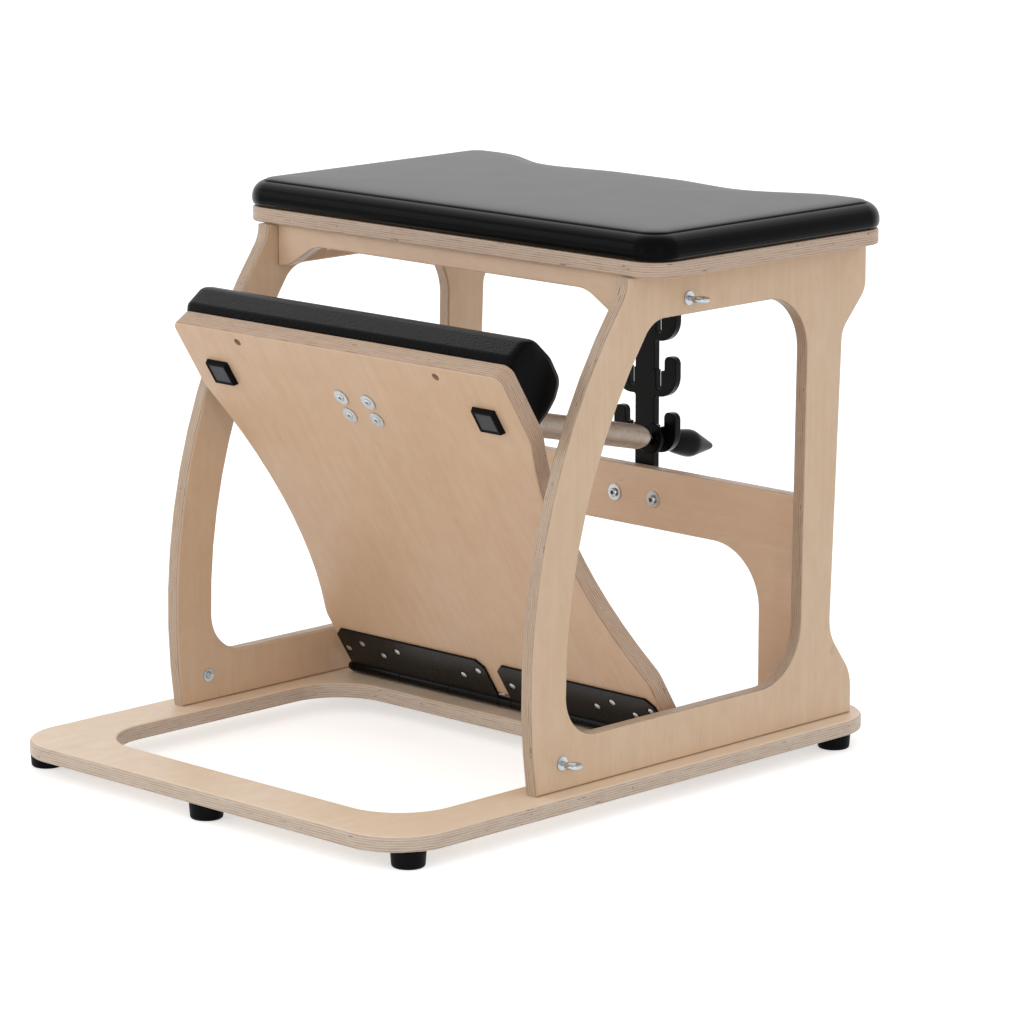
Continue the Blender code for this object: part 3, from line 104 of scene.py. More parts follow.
def shading(name, slot=None, **values):
    """A new material, with its tree and its shader's uniform values set; its slot is not used."""
    made = bpy.data.materials.new(name)
    made.use_nodes = True
    shader = made.node_tree.nodes["Principled BSDF"]
    for key, value in values.items():
        shader.inputs[key.replace("_", " ")].default_value = value
    return made, made.node_tree


def finish(material, **sources):
    """Links node outputs to the shader's sockets that they are named for."""
    tree = material.node_tree
    for key, source in sources.items():
        tree.links.new(source, tree.nodes["Principled BSDF"].inputs[key.replace("_", " ")])


def birch_plywood(name, place, thickness, plies, seed, across=False, tone=(1, 1, 1)):
    """Rotary-cut birch plywood under satin lacquer. The plies are a solid stack through the board, so its
    faces show the outer veneer's long soft grain, and its edges pale and dark plies with thin glue lines.
    Tone multiplies the colour: on the base it is a painted sheen, on the crossbar painted fill light, and on
    the other boards a shift of the board's own colour."""
    wood, tree = shading(name, "birch_plywood", Specular_IOR_Level=0.5)
    turned = place @ Matrix.Rotation(math.pi / 2 if across else 0, 4, "Z")
    coords = add(tree, "ShaderNodeTexCoord", out="Object")
    board = add(tree, "ShaderNodeMapping", {0: coords, 1: turned.translation, 2: turned.to_euler()},
                vector_type="TEXTURE")
    moved = add(tree, "ShaderNodeVectorMath", {0: board, 1: (1.7 * seed, 0.9 * seed, 0.31 * seed)})

    # Each pattern: its steps per metre, detail, the levels it starts and is full at, and how far it wavers.
    # Streaks are about 7 mm wide and bands 40 mm; pores are drawn 2 mm wide, coarser than real, to show
    patterns = []
    for scale, detail, low, high, waver in (
            ((150, 5.5, 150), 3, 0.36, 0.66, 0.3),
            ((25, 1.6, 25), 2, 0.38, 0.66, 0.8),
            ((15, 8, 15), 4, 0.34, 0.70, 0.4),
            ((60, 34, 60), 3, 0.36, 0.72, 0.2),
            ((520, 42, 520), 2, 0.60, 0.74, 0.0),
            ((70, 24, 70), 3, 0.70, 0.80, 0.0),
            ((900, 900, 60), 2, 0.40, 0.70, 0.0)):
        stretched = add(tree, "ShaderNodeMapping", {0: moved, 3: scale})
        noise = add(tree, "ShaderNodeTexNoise", {"Vector": stretched, "Scale": 1.0, "Detail": detail,
                                                 "Roughness": 0.55, "Distortion": waver})
        patterns.append(add(tree, "ShaderNodeMapRange", {0: noise, 1: low, 2: high}))
    streaks, bands, blotches, mottle, pores, flecks, fibres = patterns

    def stained(colour, stains):
        """A colour under stains, each given as its pattern, its strength and its shade."""
        for pattern, share, shade in stains:
            weight = add(tree, "ShaderNodeMath", {0: pattern, 1: share}, operation="MULTIPLY")
            colour = add(tree, "ShaderNodeMix", {0: weight, 6: colour, 7: linear(shade)}, 2, data_type="RGBA")
        return colour

    veneer = stained(linear("DDC2A8"), ((streaks, 0.45, "D2B496"), (bands, 0.40, "D9B591"),
                                        (blotches, 0.30, "E6CBB2"), (mottle, 0.30, "D3AF94"),
                                        (pores, 0.20, "B08D6B"), (flecks, 0.30, "9C7350")))

    # Edges: every other ply a shade darker, thin glue lines that come and go, and short gaps in a ply. Each
    # ply has its own row in the noise that drives them, and the sanded outer plies are a little thinner
    depth = add(tree, "ShaderNodeSeparateXYZ", {0: board}, 2)
    level = add(tree, "ShaderNodeMath", {0: depth, 1: PLY_SPREAD * plies / thickness, 2: plies / 2},
                operation="MULTIPLY_ADD")
    index = add(tree, "ShaderNodeMath", {0: level}, operation="FLOOR")
    own_row = add(tree, "ShaderNodeMath", {0: index, 1: 1.37}, operation="MULTIPLY")
    own_row = add(tree, "ShaderNodeCombineXYZ", {2: own_row})
    own_row = add(tree, "ShaderNodeVectorMath", {0: moved, 1: (34, 34, 0), 2: own_row},
                  operation="MULTIPLY_ADD")
    run = add(tree, "ShaderNodeTexNoise", {"Vector": own_row, "Scale": 1.0, "Detail": 4.0, "Roughness": 0.62})
    cross = add(tree, "ShaderNodeMath", {0: index, 1: 2.0}, operation="MODULO")
    fading = add(tree, "ShaderNodeMapRange", {0: run, 1: 0.35, 2: 0.60, 3: 1.0, 4: 0.25})
    cross = add(tree, "ShaderNodeMath", {0: cross, 1: fading}, operation="MULTIPLY")
    within = add(tree, "ShaderNodeMath", {0: level}, operation="FRACT")
    glue = add(tree, "ShaderNodeMath", {0: within, 1: 0.5}, operation="SUBTRACT")
    glue = add(tree, "ShaderNodeMath", {0: glue}, operation="ABSOLUTE")
    glue = add(tree, "ShaderNodeMapRange", {0: glue, 1: 0.36, 2: 0.46})
    tint = add(tree, "ShaderNodeMapRange", {0: run, 1: 0.42, 2: 0.62, 3: 0.06, 4: 1.0})
    glue = add(tree, "ShaderNodeMath", {0: glue, 1: tint}, operation="MULTIPLY")
    gaps = add(tree, "ShaderNodeMapRange", {0: run, 1: 0.670, 2: 0.70})
    edge = stained(linear("C8B29D"), ((cross, 1.0, "A38470"), (fibres, 0.22, "AE9180"), (glue, 1.0, "7E6356"),
                                      (gaps, 0.65, "5A4136")))

    # The veneer's colour holds on the face, and gives way to the plies as the rounded edge turns off it
    square = turned.to_3x3() @ Vector((0, 0, 1))
    facing = add(tree, "ShaderNodeVectorMath", {0: add(tree, "ShaderNodeTexCoord", out="Normal"), 1: square},
                 "Value", operation="DOT_PRODUCT")
    facing = add(tree, "ShaderNodeMath", {0: facing}, operation="ABSOLUTE")
    on_edge = add(tree, "ShaderNodeMapRange", {0: facing, 1: 0.93, 2: 0.60})
    colour = add(tree, "ShaderNodeMix", {0: on_edge, 6: veneer, 7: edge}, 2, data_type="RGBA")
    # Multiplied by the tone, which on the base and the crossbar paints in light: a sheen, and fill light
    colour = add(tree, "ShaderNodeMix", {0: 1.0, 6: colour, 7: (*tone, 1.0)}, 2, data_type="RGBA",
                 blend_type="MULTIPLY")
    gloss = add(tree, "ShaderNodeMapRange", {0: mottle, 3: 0.38, 4: 0.48})
    sunk = add(tree, "ShaderNodeMath", {0: glue, 1: on_edge}, operation="MULTIPLY")
    sunk = add(tree, "ShaderNodeMath", {0: pores, 1: 0.4, 2: sunk}, operation="MULTIPLY_ADD")
    relief = add(tree, "ShaderNodeBump", {"Height": sunk, "Strength": 0.25, "Distance": 0.0003}, invert=True)
    finish(wood, Base_Color=colour, Roughness=gloss, Normal=relief)
    return wood


def mirrored(right):
    """A symmetric outline from the corners and arcs of its right half."""
    return right + [(-x, y, radius, *[math.pi - angle for angle in reversed(swing)])
                    for x, y, radius, *swing in reversed(right)]


def ends(stop):
    """The first and last point of a corner (x, y, radius) or an arc (centre x and y, radius, from, to)."""
    if len(stop) == 3:
        return Vector(stop[:2]), Vector(stop[:2])
    x, y, radius, start, end = stop
    return [Vector((x + radius * math.cos(a), y + radius * math.sin(a))) for a in (start, end)]


def only(kind, geometry):
    """The vertices, edges or faces among an operator's results."""
    return [g for g in geometry if isinstance(g, kind)]


def trace(bm, stops, step=math.radians(4)):
    """Draws a closed outline through corners, which are filleted, and arcs; every round stretch is a spin."""
    chain = []
    for i, stop in enumerate(stops):
        if len(stop) == 5:
            centre = Vector(stop[:2])
            start, swing = ends(stop)[0], stop[4] - stop[3]
        else:
            corner = Vector(stop[:2])
            back = (ends(stops[i - 1])[1] - corner).normalized()
            on = (ends(stops[(i + 1) % len(stops)])[0] - corner).normalized()
            turn = math.pi - back.angle(on)
            if stop[2] <= 0 or turn < 1e-4:
                sharp = bm.verts.new((*corner, 0))
                chain.append((sharp, sharp))
                continue
            run = stop[2] * math.tan(turn / 2)
            start = corner + back * run
            centre = corner + (back + on).normalized() * math.hypot(stop[2], run)
            swing = turn if back.cross(on) < 0 else -turn
        first = bm.verts.new((*start, 0))
        count = max(2, math.ceil(abs(swing) / step))
        spun = bmesh.ops.spin(bm, geom=[first], cent=(*centre, 0), axis=(0, 0, 1), angle=swing, steps=count)
        chain.append((first, only(bmesh.types.BMVert, spun["geom_last"])[0]))
    for i, (first, _) in enumerate(chain):
        if (chain[i - 1][1].co - first.co).length > WELD:
            bm.edges.new((chain[i - 1][1], first))
    bmesh.ops.remove_doubles(bm, verts=bm.verts, dist=WELD)


def step_in(bm, faces, steps):
    """Insets a patch of faces again and again, each time as (distance inwards, rise)."""
    for inwards, rise in steps:
        bmesh.ops.inset_region(bm, faces=faces, use_boundary=True, use_even_offset=True, thickness=inwards,
                               depth=rise)


def quarter_round(radius, count=EASE_STEPS):
    """Inset steps that turn a square edge into a round one."""
    angles = [math.pi / 2 * i / count for i in range(count + 1)]
    return [(radius * (math.cos(a) - math.cos(b)), radius * (math.sin(b) - math.sin(a)))
            for a, b in zip(angles, angles[1:])]


def lift(bm, faces, rise):
    """Moves a patch of faces up, and gives its vertices."""
    verts = list({v for face in faces for v in face.verts})
    bmesh.ops.translate(bm, verts=verts, vec=(0, 0, rise))
    return verts


def slab(outlines, thickness, ease, lower_ease=None):
    """A board cut to closed outlines, the later ones being holes, with its edges rounded over."""
    lower = ease if lower_ease is None else lower_ease
    bm = bmesh.new()
    for stops in outlines:
        trace(bm, stops)
    bmesh.ops.triangle_fill(bm, edges=bm.edges[:], use_beauty=True, normal=(0, 0, 1))
    top = bm.faces[:]
    lift(bm, top, thickness / 2 - ease)
    grown = bmesh.ops.extrude_face_region(bm, geom=top, use_keep_orig=True)["geom"]
    bottom = only(bmesh.types.BMFace, grown)
    lift(bm, bottom, ease + lower - thickness)
    bmesh.ops.recalc_face_normals(bm, faces=bm.faces)
    step_in(bm, top, quarter_round(ease))
    step_in(bm, bottom, quarter_round(lower))
    return bm


def mesh_of(bm, name):
    """Turns a bmesh into a mesh."""
    mesh = bpy.data.meshes.new(name)
    bm.to_mesh(mesh)
    bm.free()
    return mesh


def stand(name, data):
    """Puts a new object in the scene."""
    made = bpy.data.objects.new(name, data)
    bpy.context.scene.collection.objects.link(made)
    return made


def piece(bm, surface, body, *nodes, place=Matrix(), name=None, crease=35, bevel=0.0):
    """Makes one piece: its mesh is welded, put in place and dressed, and it rides on its body for its nodes.
    A piece that rides on no body, such as the spring's coil, is given None for its body."""
    bmesh.ops.remove_doubles(bm, verts=bm.verts, dist=WELD)
    bmesh.ops.recalc_face_normals(bm, faces=bm.faces)
    bmesh.ops.transform(bm, matrix=place, verts=bm.verts)
    name = name or f"finished_{nodes[0]}"
    mesh = mesh_of(bm, name)
    mesh.shade_smooth()
    mesh.set_sharp_from_angle(angle=math.radians(crease))
    mesh.materials.append(surface)
    made = stand(name, mesh)
    if bevel:
        edge = made.modifiers.new("rounded edges", "BEVEL")
        edge.width = bevel
        edge.segments = 2
        edge.limit_method = "ANGLE"
        edge.angle_limit = math.radians(crease)
    made.modifiers.new("even shading", "WEIGHTED_NORMAL").keep_sharp = not bevel
    if body:
        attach(made, body)
    if nodes:
        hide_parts(*nodes)
    return made


def shift(x, y, z):
    """A place moved by x, y and z."""
    return Matrix.Translation((x, y, z))


half_x, half_y = (base_high.x - base_low.x) / 2, (base_high.y - base_low.y) / 2
open_x, open_y = half_x - OPENING_SIDE_RAIL, OPENING_FRONT_RAIL - half_y
cut_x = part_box("rear_crossbar")[1].x - CROSSBAR_LEG
base_outlines = [
    mirrored([(half_x, -half_y, BASE_CORNER), (half_x, half_y, BASE_CORNER), (cut_x, half_y, REAR_CUT_MOUTH),
              (cut_x, REAR_CUT_Y, REAR_CUT_FILLET)]),
    mirrored([(open_x, open_y, OPENING_CORNER), (open_x, OPENING_REAR_Y, OPENING_CORNER)]),
]
base_place = shift(0, MID_Y, (base_low.z + base_high.z) / 2)
# Its tone whitens the board's colour, most in blue: a painted sheen, standing in for the satin lacquer's
# grazing reflection on the top
wood = birch_plywood("base_plywood_painted_sheen", base_place, PLY, PLIES_18, 1, tone=(1.13, 1.23, 1.30))
piece(slab(base_outlines, PLY, BASE_EASE, BASE_LOWER_EASE), wood, "frame", "base_board", place=base_place)

# Feet: five black rubber bumpers, moulded in a slight cone with a hollow for the screw that holds each one.
# The front three stand near the base's front edge and two more near its rear corners.
FOOT_RADIUS = 0.0205
FOOT_CONE = 0.0012
FOOT_ROUND = 0.0032
FOOT_EDGE = 0.0006
FOOT_HOLLOW = 0.0078
FOOT_HOLLOW_DEPTH = 0.009
FOOT_SCREW = ((0.0, 0.0055), (0.0030, 0.0055), (0.0052, 0.0062), (0.0062, 0.0078), (0.0062, 0.0089),
              (0.0, 0.0089))
SCREW_EDGE = 0.0003


def turned(profile, closed=False, steps=48):
    """A shape turned round Z from (radius, height) points."""
    bm = bmesh.new()
    verts = [bm.verts.new((radius, 0, z)) for radius, z in profile]
    edges = [bm.edges.new(pair) for pair in zip(verts, verts[1:])]
    if closed:
        edges.append(bm.edges.new((verts[-1], verts[0])))
    bmesh.ops.spin(bm, geom=verts + edges, cent=(0, 0, 0), axis=(0, 0, 1), angle=math.tau, steps=steps,
                   use_merge=True)
    bmesh.ops.remove_doubles(bm, verts=bm.verts, dist=WELD)
    return bm


def arc(radius, height, size, start, end, count=4):
    """Points on a rounding of a turned profile, round (radius, height), from one angle to another."""
    angles = [math.radians(start + (end - start) * i / count) for i in range(count + 1)]
    return [(radius + size * math.cos(a), height + size * math.sin(a)) for a in angles]


def skin(name, slot, cloud, tones, gloss, sheen=None, **values):
    """A finish whose tone and roughness drift with a soft cloud, given as its scale and detail. Sheen is how
    the highlight grows as the eye grazes the surface: two levels that it grows between, and two strengths."""
    made, tree = shading(name, slot, **values)
    coords = add(tree, "ShaderNodeTexCoord", out="Object")
    drift = add(tree, "ShaderNodeTexNoise", {"Vector": coords, "Scale": cloud[0], "Detail": cloud[1]})
    dark, light = [linear(tone) for tone in tones]
    finish(made, Base_Color=add(tree, "ShaderNodeMix", {0: drift, 6: dark, 7: light}, 2, data_type="RGBA"),
           Roughness=add(tree, "ShaderNodeMapRange", {0: drift, 3: gloss[0], 4: gloss[1]}))
    if sheen:
        grazing = add(tree, "ShaderNodeLayerWeight", {0: 0.5}, "Facing")
        levels = dict(enumerate((grazing, *sheen)))
        finish(made, Specular_IOR_Level=add(tree, "ShaderNodeMapRange", levels))
    return made


def emboss(material, strength, depth, pattern, inputs, **settings):
    """Presses a fine pattern into a finish, to a depth in metres; its Scale counts steps per metre."""
    tree = material.node_tree
    coords = add(tree, "ShaderNodeTexCoord", out="Object")
    grain = add(tree, pattern, {"Vector": coords, **inputs}, **settings)
    finish(material, Normal=add(tree, "ShaderNodeBump", {"Height": grain, "Strength": strength,
                                                         "Distance": depth}))


# Black rubber, moulded: nearly black and matt, with a skin of faint 1 mm pebbles that greys in grazing light
rubber = skin("moulded_black_rubber", "black_rubber", (55.0, 4.0), ("070707", "101011"), (0.42, 0.58),
              Specular_IOR_Level=0.06)
emboss(rubber, 0.3, 0.0002, "ShaderNodeTexNoise", {"Scale": 900.0, "Detail": 3.0})

# Zinc-plated steel: bright, slightly blue-grey metal, with soft cloudy patches of 2 or 3 mm from the bath
zinc = skin("zinc_plated_steel", "zinc_plated_steel", (420.0, 4.0), ("A9B0B4", "D6DBDE"), (0.20, 0.38),
            Metallic=1.0)

for node in ("foot_front_left", "foot_front_middle", "foot_front_right", "foot_rear_left", "foot_rear_right"):
    low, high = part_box(node)
    spot = shift((low.x + high.x) / 2, (low.y + high.y) / 2, low.z)
    height = high.z - low.z
    profile = [(0.0, height), (FOOT_RADIUS - FOOT_EDGE, height), (FOOT_RADIUS, height - FOOT_EDGE)]
    profile += arc(FOOT_RADIUS - FOOT_CONE - FOOT_ROUND, FOOT_ROUND, FOOT_ROUND, 0, -90)
    profile += [(FOOT_HOLLOW + FOOT_EDGE, 0.0), (FOOT_HOLLOW, FOOT_EDGE), (FOOT_HOLLOW, FOOT_HOLLOW_DEPTH),
                (0.0, FOOT_HOLLOW_DEPTH)]
    piece(turned(profile), rubber, "frame", node, place=spot)
    piece(turned(FOOT_SCREW, steps=24), zinc, "frame", place=spot, name=f"screw_of_{node}", bevel=SCREW_EDGE)

# Side panels: 18 mm birch plywood, each routed with one big window and a front edge on one large arc.
# They stand on the base board, with the grain upright, and are screwed to it from below.
FRONT_Y = -0.0215
FRONT_ARC_RADIUS = 0.730
FRONT_ARC_Y = 0.552
FRONT_ARC_RISE = 0.1117
NECK_FILLET = 0.040
WINDOW_POST = 0.058
WINDOW_REAR_LOW_Y = 0.284
WINDOW_REAR_HIGH_Y = 0.2915
WINDOW_TOP_RAIL = 0.053
WINDOW_BOTTOM_RAIL = 0.0577
FRONT_LOW_FILLET = 0.050
FRONT_HIGH_FILLET = 0.040
REAR_LOW_FILLET = 0.070
REAR_HIGH_FILLET = 0.068
REAR_FILLET = 0.030
REAR_FOOT_FILLET = 0.055
REAR_EDGE = ((0.397, -0.060), (0.355, -0.105))
REAR_WAIST = ((0.339, 0.1057), (0.380, 0.0502))
SIDES = ((-1, "left"), (1, "right"))
SIDEWAYS = Euler((math.pi / 2, 0, math.pi / 2)).to_matrix().to_4x4()

panel_low, panel_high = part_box("side_panel_right")
base_top = base_high.z
arc_z = base_top + FRONT_ARC_RISE
top_z, bottom_z = panel_high.z, panel_low.z


def on_front_arc(radius, z):
    """The angle, round the front curve's centre, at which a circle of this radius is at a height."""
    return math.pi - math.asin((z - arc_z) / radius)


def window_fillet(z, radius, side):
    """A fillet between the window's front curve and a level line, above it (side 1) or below it (side -1)."""
    reach = FRONT_ARC_RADIUS - WINDOW_POST - radius
    centre_z = z + side * radius
    angle = on_front_arc(reach, centre_z)
    return (FRONT_ARC_Y + reach * math.cos(angle), centre_z, radius), angle


def panel_stops():
    """The panel's outline and its window's, as (y, z)."""
    reach = FRONT_ARC_RADIUS + NECK_FILLET
    neck = on_front_arc(reach, arc_z + math.sqrt(reach ** 2 - (FRONT_ARC_Y - FRONT_Y + NECK_FILLET) ** 2))
    outer = [
        (FRONT_ARC_Y, arc_z, FRONT_ARC_RADIUS, on_front_arc(FRONT_ARC_RADIUS, bottom_z), neck),
        (FRONT_Y - NECK_FILLET, arc_z + reach * math.sin(neck), NECK_FILLET, neck - math.pi, 0.0),
        (FRONT_Y, top_z, 0),
        (REAR_EDGE[0][0], top_z, 0),
        *[(y, top_z + z, REAR_FILLET) for y, z in REAR_EDGE],
        *[(y, base_top + z, REAR_FOOT_FILLET) for y, z in REAR_WAIST],
        (REAR_WAIST[1][0], bottom_z, 0),
    ]
    low, high = base_top + WINDOW_BOTTOM_RAIL, top_z - WINDOW_TOP_RAIL
    low_fillet, low_angle = window_fillet(low, FRONT_LOW_FILLET, 1)
    high_fillet, high_angle = window_fillet(high, FRONT_HIGH_FILLET, -1)
    window = [
        (*low_fillet, 1.5 * math.pi, low_angle),
        (FRONT_ARC_Y, arc_z, FRONT_ARC_RADIUS - WINDOW_POST, low_angle, high_angle),
        (*high_fillet, high_angle, 0.5 * math.pi),
        (WINDOW_REAR_HIGH_Y, high, REAR_HIGH_FILLET),
        (WINDOW_REAR_LOW_Y, low, REAR_LOW_FILLET),
    ]
    return outer, window


for side, name in SIDES:
    low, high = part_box(f"side_panel_{name}")
    panel_place = shift((low.x + high.x) / 2, MID_Y, 0) @ SIDEWAYS
    wood = birch_plywood(f"{name}_panel_plywood", panel_place, PLY, PLIES_18, 3 + side,
                         tone=(0.93, 0.93, 0.89))
    piece(slab(panel_stops(), PLY, BOARD_EASE), wood, "frame", f"side_panel_{name}", place=panel_place)

# Front apron and rear crossbar: two rails of the same plywood, grain across, that tie the panels together.
# The apron dips to a lobe at each end; the crossbar is an arch whose legs stand on the base.
APRON_DEPTH = 0.0225
APRON_LOBE_DEPTH = 0.052
APRON_LOBE_START = 0.0650
APRON_LOBE_RUN = 0.0490
APRON_EASE = 0.0022
CROSSBAR_RAIL = 0.0755
CROSSBAR_FILLET = 0.075
CROSSBAR_EASE = 0.0026
UPRIGHT = Euler((math.pi / 2, 0, 0)).to_matrix().to_4x4()

low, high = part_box("front_apron")
inner = high.x - APRON_LOBE_START
apron_stops = mirrored([
    (inner, high.z - APRON_DEPTH, APRON_LOBE_RUN),
    (inner + APRON_LOBE_RUN, high.z - APRON_LOBE_DEPTH, APRON_LOBE_RUN),
    (high.x, high.z - APRON_LOBE_DEPTH, 0),
    (high.x, high.z, 0),
])
apron_place = shift(0, (low.y + high.y) / 2, 0) @ UPRIGHT
wood = birch_plywood("apron_plywood", apron_place, PLY, PLIES_18, 6, across=True)
piece(slab([apron_stops], PLY, APRON_EASE), wood, "frame", "front_apron", place=apron_place)

low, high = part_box("rear_crossbar")
crossbar_stops = mirrored([
    (high.x - CROSSBAR_LEG, high.z - CROSSBAR_RAIL, CROSSBAR_FILLET),
    (high.x - CROSSBAR_LEG, low.z, 0),
    (high.x, low.z, 0),
    (high.x, high.z, 0),
])
crossbar_place = shift(0, (low.y + high.y) / 2, 0) @ UPRIGHT
# Its tone lifts the colour well above the other boards', past what plywood reflects: painted fill light, for
# the light that reaches it under the seat
wood = birch_plywood("crossbar_plywood_painted_fill_light", crossbar_place, PLY, PLIES_18, 7, across=True,
                     tone=(1.26, 1.32, 1.38))
piece(slab([crossbar_stops], PLY, CROSSBAR_EASE), wood, "frame", "rear_crossbar", place=crossbar_place)

# Seat board: 18 mm plywood, waved at the rear, which lies on the panels and carries the pad.
# Only its edge and its underside show; the corners are rounded to match the pad.
SEAT_CORNER = 0.0375
SEAT_EAR_X = 0.2575
SEAT_DIP_X = 0.165
SEAT_HUMP_X = 0.060
SEAT_DIP = 0.048
SEAT_HUMP = 0.0305
SEAT_EAR_FILLET = 0.130
SEAT_DIP_FILLET = 0.100
SEAT_HUMP_FILLET = 0.180
SEAT_EASE = 0.0022

seat_low, seat_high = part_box("seat_board")


def seat_stops(grow=0.0):
    """The seat's outline, spread by grow on every side."""
    side, front, rear = seat_high.x + grow, seat_low.y - MID_Y - grow, seat_high.y - MID_Y + grow
    return mirrored([
        (side, front, SEAT_CORNER + grow),
        (side, rear, SEAT_CORNER + grow),
        (SEAT_EAR_X, rear, SEAT_EAR_FILLET),
        (SEAT_DIP_X, rear - SEAT_DIP, SEAT_DIP_FILLET),
        (SEAT_HUMP_X, rear - SEAT_HUMP, SEAT_HUMP_FILLET),
    ])


seat_place = shift(0, MID_Y, (seat_low.z + seat_high.z) / 2)
wood = birch_plywood("seat_plywood", seat_place, PLY, PLIES_18, 9, across=True)
piece(slab([seat_stops()], PLY, SEAT_EASE), wood, "frame", "seat_board", place=seat_place)

# Seat pad: firm foam under black upholstery vinyl, pulled down over the rim and stapled under the board.
# The side is a full soft roll; a fine seam runs round above it, where the flat top panel is sewn on.
PAD_GROW = 0.001
PAD_ROLL_LEVEL = 0.011
PAD_ROLL_IN = 0.020
PAD_ROLL_UP = 0.0205
PAD_ROLL_END = math.radians(78)
PAD_ROLL_STEPS = 9
PAD_FOOT = ((0.0, 0.008), (0.0008, 0.0045), (0.0025, 0.002), (0.006, 0.0))
PAD_SEAM = ((0.0162, 0.0308), (0.0166, 0.0308), (0.0169, 0.0316))
PAD_TOP_PANEL = ((0.0185, 0.0327), (0.0220, 0.0336), (0.0265, 0.0342), (0.0330, 0.0347))
PAD_CROWN = ((0.92, 0.0353), (0.75, 0.0359), (0.45, 0.0363))

# Upholstery vinyl, embossed: black and soft when faced, with a grey satin sheen where the eye grazes it,
# and a pebble grain of about 1.2 mm that breaks up the highlights
vinyl = skin("embossed_black_vinyl", "black_vinyl", (18.0, 5.0), ("050506", "0A0A0B"), (0.28, 0.31),
             sheen=(0.32, 0.70, 0.04, 0.24))
emboss(vinyl, 0.10, 0.0002, "ShaderNodeTexVoronoi", {"Scale": 800.0}, feature="SMOOTH_F1")

# Each vertex of the rim keeps the way that is square to the outline there, for the rings that follow
bm = bmesh.new()
trace(bm, seat_stops(PAD_GROW))
rim = bm.edges[:]
bmesh.ops.triangle_fill(bm, edges=rim, use_beauty=True, normal=(0, 0, 1))
way = bm.verts.layers.float_vector.new("inwards")
for edge in rim:
    loop = edge.link_loops[0]
    along = (loop.link_loop_next.vert.co - loop.vert.co).normalized()
    for vert in edge.verts:
        vert[way] = vert[way] + Vector((-along.y, along.x, 0))
for vert in bm.verts:
    vert[way] = vert[way].normalized()


def ring_in(bm, faces, rings):
    """Extrudes a level patch from ring to ring, each a distance in from the outline and a height."""
    for (near, low), (far, high) in zip(rings, rings[1:]):
        grown = bmesh.ops.extrude_face_region(bm, geom=faces)["geom"]
        for vert in only(bmesh.types.BMVert, grown):
            vert.co += vert[way] * (far - near) + Vector((0, 0, high - low))
        faces = only(bmesh.types.BMFace, grown)
    return faces


top = bm.faces[:]
grown = bmesh.ops.extrude_face_region(bm, geom=top, use_keep_orig=True)["geom"]
bottom = only(bmesh.types.BMFace, grown)
lift(bm, top, PAD_ROLL_LEVEL)
lift(bm, bottom, PAD_FOOT[0][1])
ring_in(bm, bottom, PAD_FOOT)
roll = [PAD_ROLL_END * i / PAD_ROLL_STEPS for i in range(PAD_ROLL_STEPS + 1)]
rings = [(PAD_ROLL_IN * (1 - math.cos(a)), PAD_ROLL_LEVEL + PAD_ROLL_UP * math.sin(a)) for a in roll]
rings += PAD_SEAM + PAD_TOP_PANEL
top = ring_in(bm, top, rings)
level, share = rings[-1][1], 1.0
seat_middle = shift(0, (seat_low.y + seat_high.y) / 2 - MID_Y, 0).inverted()
for width, height in PAD_CROWN:
    grown = bmesh.ops.extrude_face_region(bm, geom=top)["geom"]
    top = only(bmesh.types.BMFace, grown)
    verts = lift(bm, top, height - level)
    bmesh.ops.scale(bm, vec=(width / share, width / share, 1), space=seat_middle, verts=verts)
    level, share = height, width
bm.verts.layers.float_vector.remove(way)
pad_place = shift(0, MID_Y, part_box("seat_pad")[0].z)
seat_cushion = piece(bm, vinyl, "frame", "seat_pad", place=pad_place, crease=60)

# Eyebolts: zinc-plated 5.6 mm steel wire bent to an eye, one low and one high in each panel, for hooks.
# A washer lies under each on the outside, and a nut and washer hold it on the inside.
EYE_WIRE = 0.0028
EYE_LOOP = 0.0082
EYE_STANDOFF = 0.018
WASHER_RADIUS = 0.0082
WASHER_HOLE = 0.0034
WASHER_EDGE = 0.0002
EYE_HOLE = EYE_WIRE + 0.0002
NUT_FLATS = 0.0048
NUT_WASHER = 0.0012
NUT_RISE = 0.0013


def washer(thickness, hole=WASHER_HOLE, radius=WASHER_RADIUS):
    """A flat washer on z = 0, punched from sheet."""
    return turned([(hole, thickness), (radius, thickness), (radius, 0), (hole, 0)], closed=True)


def hexagon(across, height, hole):
    """A hexagon nut on z = 0."""
    return turned([(hole, height), (across, height), (across, 0), (hole, 0)], closed=True, steps=6)


def joined(*others):
    """One bmesh from several, each with its place."""
    target = bmesh.new()
    for other, place in others:
        bmesh.ops.transform(other, matrix=place, verts=other.verts)
        mesh = mesh_of(other, "part")
        target.from_mesh(mesh)
        bpy.data.meshes.remove(mesh)
    return target


def between(node):
    """The middle of a CAD node's box."""
    low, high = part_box(node)
    return (low + high) / 2


def look(direction, location):
    """A place whose Z points along direction."""
    return Matrix.Translation(location) @ Vector(direction).to_track_quat("Z", "Y").to_matrix().to_4x4()


